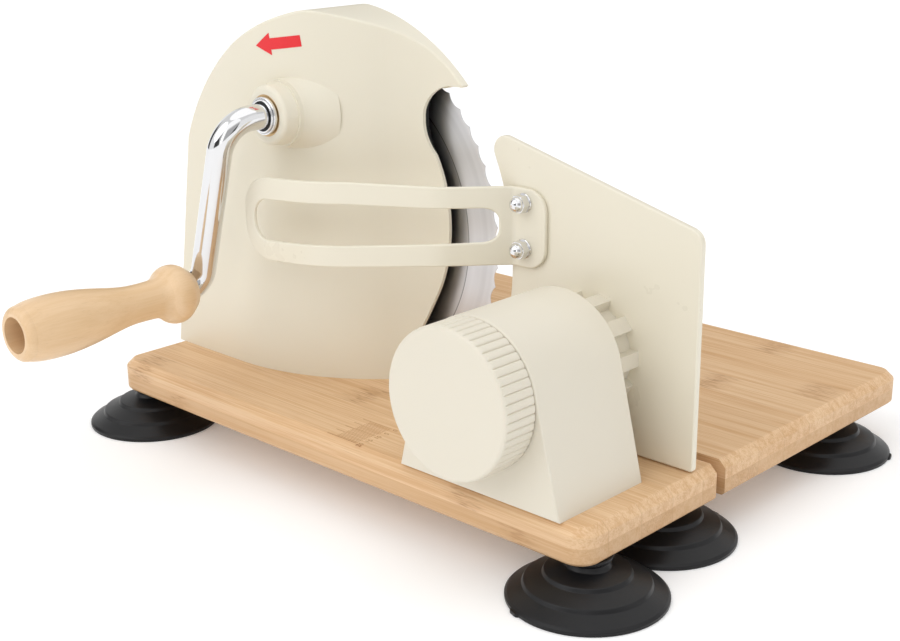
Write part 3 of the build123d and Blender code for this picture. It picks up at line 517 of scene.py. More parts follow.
@dataclass(frozen=True)
class MouldedFinish(Finish):
    """Moulded plastic, rubber or powder coat."""

    colour: Colour
    roughness: float
    grain: float = 1500.0
    depth_mm: float = 0.02
    strength: float = 0.35
    tone_spread: float = 0.04
    coat: float = 0.0
    sheen: float = 0.0
    subsurface: float = 0.0
    specular: float = 0.5
    glow: float = 0.0

    def dress(self, sheet: Sheet, shader: bpy.types.Node) -> None:
        """Tone drift in colour, smears in roughness and the mould's texture in the normal."""
        place = self.place(sheet)
        mould = self.group(sheet, mould_texture(), {"Place": place, "Grain": self.grain})
        marks = self.group(sheet, hand_marks(), {"Place": place, "Spread": 38.0})
        tone = sheet.mix(mould.outputs["Tone"], shaded(self.colour, 1 - self.tone_spread),
                         shaded(self.colour, 1 + self.tone_spread))
        sheet.tree.links.new(tone, shader.inputs["Base Color"])
        rough = sheet.math("ADD", self.roughness, sheet.math("MULTIPLY", marks.outputs["Smear"], -0.07))
        sheet.tree.links.new(rough, shader.inputs["Roughness"])
        shader.inputs["Coat Weight"].default_value = self.coat
        shader.inputs["Coat Roughness"].default_value = 0.22
        shader.inputs["Sheen Weight"].default_value = self.sheen
        shader.inputs["Subsurface Weight"].default_value = self.subsurface
        shader.inputs["Subsurface Radius"].default_value = (0.004, 0.003, 0.002)
        shader.inputs["Subsurface Scale"].default_value = 1.0
        shader.inputs["Specular IOR Level"].default_value = self.specular
        shader.inputs["Emission Color"].default_value = opaque(self.colour)
        shader.inputs["Emission Strength"].default_value = self.glow
        self.bump(sheet, shader, mould.outputs["Height"], self.depth_mm, self.strength)


@dataclass(frozen=True)
class MetalFinish(Finish):
    """Plated or plain metal with smears and fine rubbing."""

    colour: Colour
    roughness: float
    smear: float = 0.06
    depth_mm: float = 0.004

    def dress(self, sheet: Sheet, shader: bpy.types.Node) -> None:
        """Smears and hairlines over a metal of one colour."""
        place = self.place(sheet)
        marks = self.group(sheet, hand_marks(), {"Place": place, "Spread": 120.0})
        mould = self.group(sheet, mould_texture(), {"Place": place, "Grain": 420.0})
        tone = sheet.mix(mould.outputs["Tone"], shaded(self.colour, 0.94), shaded(self.colour, 1.04))
        sheet.tree.links.new(tone, shader.inputs["Base Color"])
        rough = sheet.math("ADD", self.roughness, sheet.math("MULTIPLY", marks.outputs["Smear"], self.smear))
        sheet.tree.links.new(rough, shader.inputs["Roughness"])
        shader.inputs["Metallic"].default_value = 1.0
        self.bump(sheet, shader, marks.outputs["Hair"], self.depth_mm, 0.25)


@dataclass(frozen=True)
class GroundSteelFinish(Finish):
    """Stainless steel ground in rings round the knife's axis, with a painted dark line where its bevel begins: painted
    shade of the bevel's crease.
    """

    colour: Colour
    roughness: float
    ring_mm: float

    def dress(self, sheet: Sheet, shader: bpy.types.Node) -> None:
        """Rings in colour, roughness and normal."""
        place = self.place(sheet)
        centred = sheet.add("VectorMath", {"0": place, "1": tuple(KNIFE_AXIS)}, operation="SUBTRACT").outputs[0]
        rings = self.group(sheet, turning_rings(), {"From axis": centred, "Rings": 2600.0})
        marks = self.group(sheet, hand_marks(), {"Place": place, "Spread": 60.0})
        # Painted shade: a thin dark line in the colour at the bevel's crease, standing in for the crease's shade.
        edge = sheet.math("ABSOLUTE", sheet.math("SUBTRACT", rings.outputs["Radius"], self.ring_mm * MM))
        line = sheet.ramp(edge, 0.32 * MM, 0.14 * MM)
        body = sheet.mix(rings.outputs["Band"], shaded(self.colour, 0.84), shaded(self.colour, 1.10))
        tone = sheet.mix(line, body, shaded(self.colour, 0.45))
        sheet.tree.links.new(tone, shader.inputs["Base Color"])
        rough = sheet.math("ADD", self.roughness, sheet.math("MULTIPLY", rings.outputs["Height"], 0.12))
        rough = sheet.math("ADD", rough, sheet.math("MULTIPLY", marks.outputs["Smear"], 0.05))
        sheet.tree.links.new(rough, shader.inputs["Roughness"])
        shader.inputs["Metallic"].default_value = 1.0
        self.bump(sheet, shader, rings.outputs["Height"], 0.012, 0.35)


@dataclass(frozen=True)
class BambooFinish(Finish):
    """Laminated bamboo: strips along X with fibres, growth nodes, glue lines and a two-layer edge."""

    light: Colour
    dark: Colour
    node_colour: Colour
    strip_mm: float
    node_pitch_mm: float
    seam_height_mm: float

    def dress(self, sheet: Sheet, shader: bpy.types.Node) -> None:
        """Build strips, nodes, fibres and layers."""
        place = self.place(sheet)
        axes = sheet.add("SeparateXYZ", {"0": place})
        x, y, z = (axes.outputs[index] for index in range(3))
        wander = sheet.math("MULTIPLY", sheet.noise(place, 9.0, 1.0), 0.0012)
        across = sheet.math("DIVIDE", sheet.math("ADD", y, wander), self.strip_mm * MM)
        below_seam = sheet.ramp(z, (self.seam_height_mm + 0.15) * MM, (self.seam_height_mm - 0.15) * MM)
        number = sheet.math("ADD", sheet.math("FLOOR", across), sheet.math("MULTIPLY", below_seam, 37.0))
        chance = sheet.add("TexWhiteNoise", {"W": number}, noise_dimensions="1D")
        strip = chance.outputs["Value"]
        shift = sheet.math("MULTIPLY", strip, self.node_pitch_mm * 7 * MM)
        shifted = sheet.add("CombineXYZ", {"0": sheet.math("ADD", x, shift), "1": y, "2": z}).outputs[0]
        fibres = self.group(sheet, wood_fibres(), {"Fibre": sheet.stretched(shifted, (22.0, 1500.0, 1500.0))})
        along = sheet.math("DIVIDE", sheet.math("ADD", x, shift), self.node_pitch_mm * MM)
        ragged = sheet.noise(sheet.stretched(shifted, (60.0, 900.0, 900.0)), 1.0, 3.0)
        along = sheet.math("ADD", along, sheet.math("MULTIPLY", ragged, 0.10))
        from_node = sheet.math("ABSOLUTE", sheet.math("SUBTRACT", sheet.math("FRACT", along), 0.5))
        node_band = sheet.ramp(from_node, 0.055, 0.0)
        node_fleck = sheet.ramp(sheet.noise(sheet.stretched(shifted, (160.0, 1300.0, 1300.0)), 1.0, 2.0), 0.42, 0.66)
        node = sheet.math("MULTIPLY", node_band, sheet.math("ADD", 0.25, sheet.math("MULTIPLY", node_fleck, 0.75)))
        edge = sheet.math("ABSOLUTE", sheet.math("SUBTRACT", sheet.math("FRACT", across), 0.5))
        glue = sheet.ramp(edge, 0.485, 0.5)
        streak = sheet.ramp(fibres.outputs["Streak"], 0.38, 0.64)
        tone = sheet.math("ADD", sheet.math("MULTIPLY", streak, 0.80), sheet.math("MULTIPLY", strip, 0.22))
        colour = sheet.mix(tone, opaque(self.light), opaque(self.dark))
        colour = sheet.mix(sheet.math("MULTIPLY", fibres.outputs["Pore"], 0.34), colour, opaque(self.node_colour))
        colour = sheet.mix(sheet.math("MULTIPLY", node, 0.75), colour, opaque(self.node_colour))
        colour = sheet.mix(sheet.math("MULTIPLY", glue, 0.35), colour, opaque(self.node_colour))
        colour = sheet.mix(sheet.math("MULTIPLY", below_seam, 0.42), colour, shaded(self.dark, 0.84))
        sheet.tree.links.new(colour, shader.inputs["Base Color"])
        rough = sheet.math("ADD", 0.44, sheet.math("MULTIPLY", fibres.outputs["Streak"], 0.16))
        sheet.tree.links.new(rough, shader.inputs["Roughness"])
        shader.inputs["Coat Weight"].default_value = 0.12
        shader.inputs["Coat Roughness"].default_value = 0.3
        height = sheet.math("SUBTRACT", fibres.outputs["Streak"], sheet.math("MULTIPLY", fibres.outputs["Pore"], 0.6))
        height = sheet.math("SUBTRACT", height, sheet.math("MULTIPLY", glue, 0.5))
        self.bump(sheet, shader, height, 0.05, 0.35)


@dataclass(frozen=True)
class TurnedWoodFinish(Finish):
    """Pale turned wood under clear lacquer, with its grain along Y."""

    light: Colour
    dark: Colour

    def dress(self, sheet: Sheet, shader: bpy.types.Node) -> None:
        """Growth bands cut through by the turning, fine fibres and pores."""
        place = self.place(sheet)
        centred = sheet.add("VectorMath", {"0": place, "1": tuple(HANDLE_AXIS)}, operation="SUBTRACT").outputs[0]
        fibres = self.group(sheet, wood_fibres(), {"Fibre": sheet.stretched(centred, (1500.0, 42.0, 1500.0))})
        bent = sheet.add("VectorMath", {
            "0": sheet.stretched(centred, (240.0, 9.0, 60.0)), "1": (3.1, 0.7, 1.9),
        }, operation="ADD").outputs[0]
        bands = sheet.noise(bent, 1.0, 3.0, 0.55)
        streak = sheet.ramp(fibres.outputs["Streak"], 0.32, 0.70)
        tone = sheet.math("ADD", sheet.math("MULTIPLY", sheet.ramp(bands, 0.35, 0.68), 0.6),
                          sheet.math("MULTIPLY", streak, 0.4))
        colour = sheet.mix(tone, opaque(self.light), opaque(self.dark))
        pores = sheet.math("MULTIPLY", fibres.outputs["Pore"], 0.22)
        colour = sheet.mix(pores, colour, shaded(self.dark, 0.6))
        sheet.tree.links.new(colour, shader.inputs["Base Color"])
        rough = sheet.math("ADD", 0.36, sheet.math("MULTIPLY", fibres.outputs["Streak"], 0.12))
        sheet.tree.links.new(rough, shader.inputs["Roughness"])
        shader.inputs["Coat Weight"].default_value = 0.35
        shader.inputs["Coat Roughness"].default_value = 0.18
        self.bump(sheet, shader, fibres.outputs["Streak"], 0.03, 0.2)


CREAM = (0.80, 0.75, 0.62)
CREAM_PLASTIC = MouldedFinish("cream_plastic", CREAM, 0.40, grain=1300.0, depth_mm=0.03, strength=0.3,
                              tone_spread=0.015, subsurface=0.05)
# Darker copy of the cream, as painted shade: the arched block, knob and drum sit low under the hood, so their cream is
# dimmed here; the real plastic is one cream all over.
SHADED_CREAM_PLASTIC = MouldedFinish("shaded_cream_plastic", (0.75, 0.700, 0.590), 0.46, grain=1500.0, depth_mm=0.03,
                             strength=0.35, tone_spread=0.015, subsurface=0.05)
CREAM_ENAMEL = MouldedFinish("cream_enamel", CREAM, 0.34, grain=420.0, depth_mm=0.02, strength=0.25,
                             tone_spread=0.012, coat=0.2)
BLACK_RUBBER = MouldedFinish("black_rubber", (0.0065, 0.0065, 0.0075), 0.40, grain=900.0, depth_mm=0.05,
                             strength=0.45, tone_spread=0.25, sheen=0.02, specular=0.32)
BLACK_PLASTIC = MouldedFinish("black_plastic", (0.008, 0.008, 0.008), 0.5, grain=1400.0, depth_mm=0.04,
                              tone_spread=0.2, specular=0.3)
NYLON = MouldedFinish("natural_nylon", (0.78, 0.77, 0.72), 0.42, grain=700.0, tone_spread=0.02, subsurface=0.2)
RED_LABEL = MouldedFinish("red_label", (0.80, 0.022, 0.030), 0.36, grain=2200.0, depth_mm=0.01, tone_spread=0.05)
BURNT_MARK = MouldedFinish("burnt_mark", (0.42, 0.225, 0.10), 0.7, grain=2600.0, depth_mm=0.03, tone_spread=0.35)
CHROME = MetalFinish("bright_chrome", (0.78, 0.78, 0.79), 0.075, smear=0.06)
ZINC = MetalFinish("zinc_steel", (0.60, 0.61, 0.63), 0.28, smear=0.10)
BRONZE = MetalFinish("bush_bronze", (0.58, 0.40, 0.21), 0.36, smear=0.10)
KNIFE_STEEL = GroundSteelFinish("knife_steel", (0.70, 0.70, 0.72), 0.30, ring_mm=69.0)
BAMBOO = BambooFinish("bamboo", (0.79, 0.55, 0.33), (0.62, 0.36, 0.165), (0.40, 0.20, 0.08),
                      strip_mm=19.5, node_pitch_mm=205.0, seam_height_mm=24.4)
HANDLE_WOOD = TurnedWoodFinish("handle_wood", (0.84, 0.60, 0.365), (0.745, 0.50, 0.27))


def dress(piece: bpy.types.Object, finish: Finish) -> None:
    """Give every material place of a piece one finish."""
    material = finish.make()
    if not piece.material_slots:
        piece.data.materials.append(material)
    for place in piece.material_slots:
        place.material = material


def settle(piece: bpy.types.Object, finish: Finish, body: str, slot: str, *nodes: str) -> bpy.types.Object:
    """Dress a new piece, let it ride and hide the nodes it stands for.

    Args:
        piece: The new piece, in place.
        finish: Its finish.
        body: Body that it rides on.
        slot: Material slot of the record; not used.
        *nodes: Nodes of the frame that it replaces.

    Returns:
        The piece.
    """
    dress(piece, finish)
    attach(piece, body)
    if nodes:
        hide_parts(*nodes)
    LOG.info("piece %s: %d faces on %s", piece.name, len(piece.data.polygons), body)
    return piece


def dress_nodes(finish: Finish, *nodes: str) -> None:
    """Give nodes of the frame a finish."""
    for node in nodes:
        dress(frame["nodes"][node], finish)
        LOG.info("node %s: finish %s", node, finish.name)


# ---------------------------------------------------------------- board and feet
@dataclass
class BoardAssembly:
    """Slotted bamboo board on five suction cups, with a thickness scale burnt into it."""

    corner_mm: float = 9.0
    slot_front_mm: float = -33.5
    slot_back_mm: float = -27.5
    slot_end_mm: float = -125.0
    top_chamfer_mm: float = 3.2
    bottom_chamfer_mm: float = 1.2
    edge_softness_mm: float = 0.35
    cup_radius_mm: float = 30.27
    cup_places: tuple[Point2, ...] = ((-131.0, -103.0), (131.0, -101.5), (121.6, -43.6), (122.5, 77.4),
                                      (-122.5, 77.4))
    cup_turns: tuple[float, ...] = (160.0, 250.0, 80.0, 20.0, 110.0)
    scale_zero_mm: Point2 = (20.0, -91.6)
    scale_length_mm: int = 20
    number_step: int = 5
    number_size_mm: float = 3.3
    long_mark_mm: float = 17.0
    short_mark_mm: float = 12.0
    half_mark_mm: float = 0.13
    screw_sink: tuple[float, float, float] = (4.7, 2.35, 2.6)
    screw_hole_mm: float = 9.0
    foot_screws: tuple[Point2, ...] = ((-106.0, -48.0), (-80.0, -48.0), (-54.0, -48.0))
    block_screws: tuple[Point2, ...] = ((58.0, -106.5), (58.0, -73.0), (118.0, -106.5), (118.0, -73.0))

    def build(self) -> None:
        """Make the board, its scale and its cups."""
        self.make_board()
        self.make_scale()
        for number, (place, turn) in enumerate(zip(self.cup_places, self.cup_turns), start=1):
            self.make_cup(number, place, turn)
        dress_nodes(ZINC, "cup_screws", "foot_screws", "block_screws")

    def ring(self, inset: float, height: float) -> Ring:
        """Outline of the board at one height, with the slot cut in from the right.

        Args:
            inset: How far the outside is drawn in, in millimetres.
            height: Height above the counter in millimetres.

        Returns:
            Points in metres.
        """
        half_x = (BOARD_HIGH.x - BOARD_LOW.x) / 2 / MM - inset
        half_y = (BOARD_HIGH.y - BOARD_LOW.y) / 2 / MM - inset
        radius = max(0.5, self.corner_mm - inset)
        inner_x, inner_y = half_x - radius, half_y - radius
        slot_radius = (self.slot_back_mm - self.slot_front_mm) / 2
        slot_middle = (self.slot_back_mm + self.slot_front_mm) / 2
        outline = [(half_x, self.slot_back_mm)]
        for centre_x, centre_y, start in ((inner_x, inner_y, 0), (-inner_x, inner_y, 90),
                                          (-inner_x, -inner_y, 180), (inner_x, -inner_y, 270)):
            outline += arc((centre_x, centre_y), radius, start, start + 90, 10)
        outline += [(half_x, self.slot_front_mm)]
        outline += arc((self.slot_end_mm, slot_middle), slot_radius, 270, 90, 10)
        return [Vector((x, y + BOARD_MIDDLE.y / MM, height)) * MM for x, y in outline]

    def make_board(self) -> None:
        """Loft the chamfered board and sink its screw holes from below."""
        top, bottom = BOARD_HIGH.z / MM, BOARD_LOW.z / MM
        chamfer, foot = self.top_chamfer_mm, self.bottom_chamfer_mm
        soft = self.edge_softness_mm
        section = [
            (foot + soft, bottom), (foot - 0.1, bottom + 0.1), (0.15, bottom + foot - 0.15),
            (0.0, bottom + foot + soft), (0.0, top - chamfer - soft),
            (0.12, top - chamfer + 0.12), (0.3, top - chamfer + 0.3),
            (chamfer - 0.3, top - 0.3), (chamfer - 0.05, top - 0.12), (chamfer + soft, top),
        ]
        board = mesh_from_bmesh(loft([self.ring(inset, height) for inset, height in section]))
        head, shank, cone = self.screw_sink
        sinks = bmesh.new()
        for x, y in self.foot_screws + self.block_screws:
            mouth = Vector((x * MM, BOARD_MIDDLE.y + y * MM, BOARD_LOW.z))
            add_sink(sinks, mouth, True, ((-1.0, head + 0.9), (0.0, head), (cone, shank), (self.screw_hole_mm, shank)))
        board = cut(board, mesh_from_bmesh(sinks))
        settle(piece_from("slotted_board", board), BAMBOO, "base", "bamboo", "bamboo_board")

    def make_cup(self, number: int, place: Point2, turn: float) -> None:
        """Turn one ringed cup with its pull tab.

        Args:
            number: Number in the piece's name.
            place: Centre from the board's centre in millimetres.
            turn: Direction of the tab in degrees.
        """
        bottom = BOARD_LOW.z / MM
        edge = self.cup_radius_mm
        profile = smooth_profile([
            (2.4, 3.8, 0.0), (2.4, 14.6, 0.2), (4.2, 14.6, 0.2), (4.2, bottom, 0.0), (9.2, bottom, 0.2),
            (9.2, 16.2, 0.3), (7.8, 14.9, 0.6), (8.7, 13.1, 1.2), (16.0, 11.1, 0.7), (16.7, 9.6, 0.4),
            (23.4, 6.9, 0.9), (24.1, 5.4, 0.4), (29.3, 2.4, 0.9), (edge, 1.5, 0.5), (edge, 0.0, 0.4), (28.3, 0.0, 0.2),
            (26.0, 1.0, 1.0), (15.0, 3.2, 4.0),
        ])
        origin = Vector((place[0] * MM, BOARD_MIDDLE.y + place[1] * MM, 0.0))
        bm = lathe(profile, origin, along_y=False, segments=112)
        reach = edge + 0.9
        outline = rounded([(edge - 3.0, -3.4, 0.0), (reach, -2.7, 1.6), (reach, 2.7, 1.6), (edge - 3.0, 3.4, 0.0)])
        spin = Matrix.Rotation(radians(turn), 3, "Z")
        rings = [[origin + spin @ Vector((edge + (x - edge) * scale, y * scale, height)) * MM for x, y in outline]
                 for scale, height in ((0.9, 0.05), (1.0, 0.3), (1.0, 1.15), (0.9, 1.4))]
        loft(rings, bm)
        nodes = ("suction_cups",) if number == 1 else ()
        settle(piece_from(f"suction_cup_{number}", mesh_from_bmesh(bm), 40.0), BLACK_RUBBER, "base",
               "black_rubber", *nodes)

    def make_scale(self) -> None:
        """Millimetre marks with a number at every fifth, reading from the knife's side to the front."""
        zero_x, zero_y = self.scale_zero_mm
        bm = bmesh.new()
        for count in range(self.scale_length_mm + 1):
            left = zero_x - (self.long_mark_mm if count % self.number_step == 0 else self.short_mark_mm)
            near, far = zero_y - count - self.half_mark_mm, zero_y - count + self.half_mark_mm
            outline = [(left, near), (zero_x, near), (zero_x, far), (left, far)]
            rings = [[Vector((x * MM, BOARD_MIDDLE.y + y * MM, BOARD_HIGH.z + height * MM)) for x, y in outline]
                     for height in (-0.2, 0.03)]
            loft(rings, bm)
        settle(piece_from("scale_marks", mesh_from_bmesh(bm)), BURNT_MARK, "base", "bamboo")
        numbers = [self.number_mesh(count) for count in range(0, self.scale_length_mm + 1, self.number_step)]
        settle(piece_from("scale_numbers", joined(numbers)), BURNT_MARK, "base", "bamboo")

    def number_mesh(self, count: int) -> bpy.types.Mesh:
        """Digits of one number of the scale.

        Args:
            count: Millimetres from zero.

        Returns:
            Flat raised digits, in place.
        """
        curve = bpy.data.curves.new("digits", "FONT")
        curve.body = str(count)
        curve.size = self.number_size_mm * MM
        curve.align_x = "CENTER"
        curve.extrude = 0.1 * MM
        carrier = bpy.data.objects.new("digits", curve)
        bpy.context.scene.collection.objects.link(carrier)
        mesh = bpy.data.meshes.new_from_object(carrier.evaluated_get(bpy.context.evaluated_depsgraph_get()))
        bpy.data.objects.remove(carrier)
        bpy.data.curves.remove(curve)
        zero_x, zero_y = self.scale_zero_mm
        spot = Vector(((zero_x + 3.4) * MM, BOARD_MIDDLE.y + (zero_y - count) * MM, BOARD_HIGH.z - 0.07 * MM))
        mesh.transform(Matrix.Translation(spot) @ Matrix.Rotation(radians(90), 4, "Z"))
        return mesh


# ---------------------------------------------------------------- gear case
@dataclass
class GearCase:
    """Cream shell with its label, black chassis plate, bushes and screws."""

    def build(self) -> None:
        """Dress the shell and the parts in it."""
        dress_nodes(CREAM_PLASTIC, "housing_shell")
        dress_nodes(BLACK_PLASTIC, "chassis_plate")
        dress_nodes(BRONZE, "crank_front_bush", "crank_rear_bush", "blade_front_bush", "blade_rear_bush")
        dress_nodes(ZINC, "case_screws")
        dress_nodes(RED_LABEL, "direction_arrow")


# ---------------------------------------------------------------- crank and handle
@dataclass
class CrankAssembly:
    """Plated crank tube with its rings, the shaft and gear behind it, and the turned handle."""

    tube_radius_mm: float = 5.5

    def build(self) -> None:
        """Dress the crank and make its double ring."""
        dress_nodes(CHROME, "crank_tube")
        dress_nodes(ZINC, "crank_shaft", "gear_clip", "handle_washer", "handle_bolt")
        dress_nodes(NYLON, "drive_gear")
        dress_nodes(HANDLE_WOOD, "wooden_handle")
        self.make_rings()

    def make_rings(self) -> None:
        """Two rounded rings with a groove between them, and a dark seal inside."""
        low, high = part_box("crank_collar")
        front, depth = low.y, (high.y - low.y) / MM
        bore = self.tube_radius_mm + 0.05
        origin = Vector((CRANK_AXIS.x, front, CRANK_AXIS.z))
        rings = smooth_profile([
            (6.35, 1.3, 0.2), (6.35, 0.0, 0.35), (7.2, 0.0, 0.35), (7.2, 1.15, 0.1), (7.45, 1.35, 0.1),
            (7.5, 0.75, 0.25), (8.2, 0.75, 0.35), (8.2, depth, 0.1), (bore, depth, 0.0), (bore, 1.3, 0.0),
        ])
        bm = lathe(rings, origin, along_y=True, segments=96)
        settle(piece_from("crank_rings", mesh_from_bmesh(bm), 50.0), CHROME, "crank", "bright_chrome", "crank_collar")
        seal = smooth_profile([(bore, 0.55, 0.0), (6.3, 0.55, 0.1), (6.3, 1.25, 0.0), (bore, 1.25, 0.0)])
        bm = lathe(seal, origin, along_y=True, segments=72)
        settle(piece_from("crank_seal", mesh_from_bmesh(bm), 50.0), BLACK_RUBBER, "crank", "black_rubber")


# ---------------------------------------------------------------- knife
@dataclass
class KnifeAssembly:
    """Ground round knife on its shaft, hub, small gear, clamp and nut."""

    def build(self) -> None:
        """Dress the knife and what turns with it."""
        dress_nodes(KNIFE_STEEL, "blade_disc", "blade_cap")
        dress_nodes(ZINC, "blade_shaft", "blade_hub")
        dress_nodes(NYLON, "blade_pinion")
        dress_nodes(CHROME, "blade_nut")


# ---------------------------------------------------------------- thickness control
@dataclass
class ThicknessControl:
    """Arched block on the board with its ribbed knob, stem and clip."""

    arch_radius_mm: float = 29.3
    edge_mm: float = 0.9
    chamber_radius_mm: float = 24.2
    front_wall_mm: float = 4.0
    back_wall_mm: float = 3.0
    keyway_teeth: int = 10
    keyway_root_mm: float = 19.7
    keyway_tip_mm: float = 23.6
    keyway_turn: float = 3.0
    spline_pitch_radius_mm: float = 19.4
    spline_share: float = 0.28
    knob_radius_mm: float = 29.1
    rib_count: int = 54
    rib_depth_mm: float = 0.75

    def build(self) -> None:
        """Make the block and the knob, and dress the parts inside."""
        self.make_block()
        self.make_knob()
        dress_nodes(NYLON, "lead_screw")
        dress_nodes(ZINC, "stem_clip")

    def arch(self) -> list[Point2]:
        """Outline of the block from the front: an arch about the knob's axis on two leaning sides."""
        low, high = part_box("control_block")
        centre_x, centre_z = KNOB_AXIS.x / MM, KNOB_AXIS.z / MM
        half_base = (high.x - low.x) / 2 / MM
        drop = centre_z - low.z / MM
        reach = hypot(half_base, drop)
        lean = acos(self.arch_radius_mm / reach) - radians(90) + acos(half_base / reach)
        start = lean * 180 / pi
        crown = arc((centre_x, centre_z), self.arch_radius_mm, start, 180 - start, 48)
        return crown + [(centre_x - half_base, centre_z - drop), (centre_x + half_base, centre_z - drop)]

    def keyway(self) -> list[Point2]:
        """Outline of the splined hole that the drum slides in."""
        centre_x, centre_z = KNOB_AXIS.x / MM, KNOB_AXIS.z / MM
        pitch = 360.0 / self.keyway_teeth
        half_width = 2 * pi * self.spline_pitch_radius_mm / self.keyway_teeth * self.spline_share
        points: list[Point2] = []
        for tooth in range(self.keyway_teeth):
            middle = self.keyway_turn + pitch * tooth
            tip = atan2(half_width, self.keyway_tip_mm) * 180 / pi
            root = atan2(half_width, self.keyway_root_mm) * 180 / pi
            points += arc((centre_x, centre_z), self.keyway_root_mm, middle - pitch + root, middle - root, 6)
            points += arc((centre_x, centre_z), self.keyway_tip_mm, middle - tip, middle + tip, 4)
        return points

    def make_block(self) -> None:
        """Arched prism with soft edges, hollowed by the drum's chamber and keyway."""
        low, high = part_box("control_block")
        depth = (high.y - low.y) / MM
        solid = outline_plate(self.arch(), [], depth, self.edge_mm)
        moved(solid, Vector((0.0, (low.y + high.y) / 2, 0.0)))
        wall = self.back_wall_mm
        chamber = arc((KNOB_AXIS.x / MM, KNOB_AXIS.z / MM), self.chamber_radius_mm, 0, 355, 71)
        front, back = low.y / MM + self.front_wall_mm, high.y / MM - wall
        rings = [[Vector((x, y, z)) * MM for x, z in chamber] for y in (front, back)]
        hollow = mesh_from_bmesh(loft(rings))
        rings = [[Vector((x, y, z)) * MM for x, z in self.keyway()] for y in (back - 0.5, back + wall + 1.0)]
        block = cut(cut(solid, hollow), mesh_from_bmesh(loft(rings)))
        # The block takes the darker copy of the cream: painted shade for its low place under the hood.
        settle(piece_from("arched_block", block), SHADED_CREAM_PLASTIC, "base", "cream_plastic", "control_block")

    def knob_ring(self, y: float, crest: float, rib: float) -> Ring:
        """Ring of the knob at one depth.

        Args:
            y: Place along Y in metres.
            crest: Radius at the crests in millimetres.
            rib: Depth of the grooves between the ribs in millimetres.

        Returns:
            Points in metres.
        """
        steps = self.rib_count * 12
        ring = []
        for angle in (2 * pi * step / steps for step in range(steps)):
            phase = abs(((angle * self.rib_count / (2 * pi)) % 1.0) - 0.5) * 2
            groove = rib * (1 - sqrt(1 - phase ** 3 * 0.999))
            radius = (crest - groove) * MM
            ring.append(Vector((KNOB_AXIS.x + radius * cos(angle), y, KNOB_AXIS.z + radius * sin(angle))))
        return ring

    def make_knob(self) -> None:
        """Ribbed rim behind a plain round face with a soft edge."""
        low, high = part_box("thickness_knob")
        front, back = low.y / MM, high.y / MM
        crest, rib = self.knob_radius_mm, self.rib_depth_mm
        section = [
            (front, crest - 1.9, 0.0), (front + 0.04, crest - 1.35, 0.0), (front + 0.18, crest - 0.85, 0.0),
            (front + 0.42, crest - 0.5, 0.0), (front + 0.8, crest - 0.22, rib * 0.15),
            (front + 1.3, crest - 0.04, rib * 0.55), (front + 1.9, crest, rib), (back - 0.6, crest, rib),
            (back - 0.15, crest - 0.2, rib * 0.8), (back, crest - 0.7, rib * 0.5),
        ]
        bm = loft([self.knob_ring(y * MM, radius, depth) for y, radius, depth in section])
        # The knob takes the darker copy of the cream: painted shade for its low place under the hood.
        settle(piece_from("ribbed_knob", mesh_from_bmesh(bm), 40.0), SHADED_CREAM_PLASTIC, "knob", "cream_plastic",
               "thickness_knob")


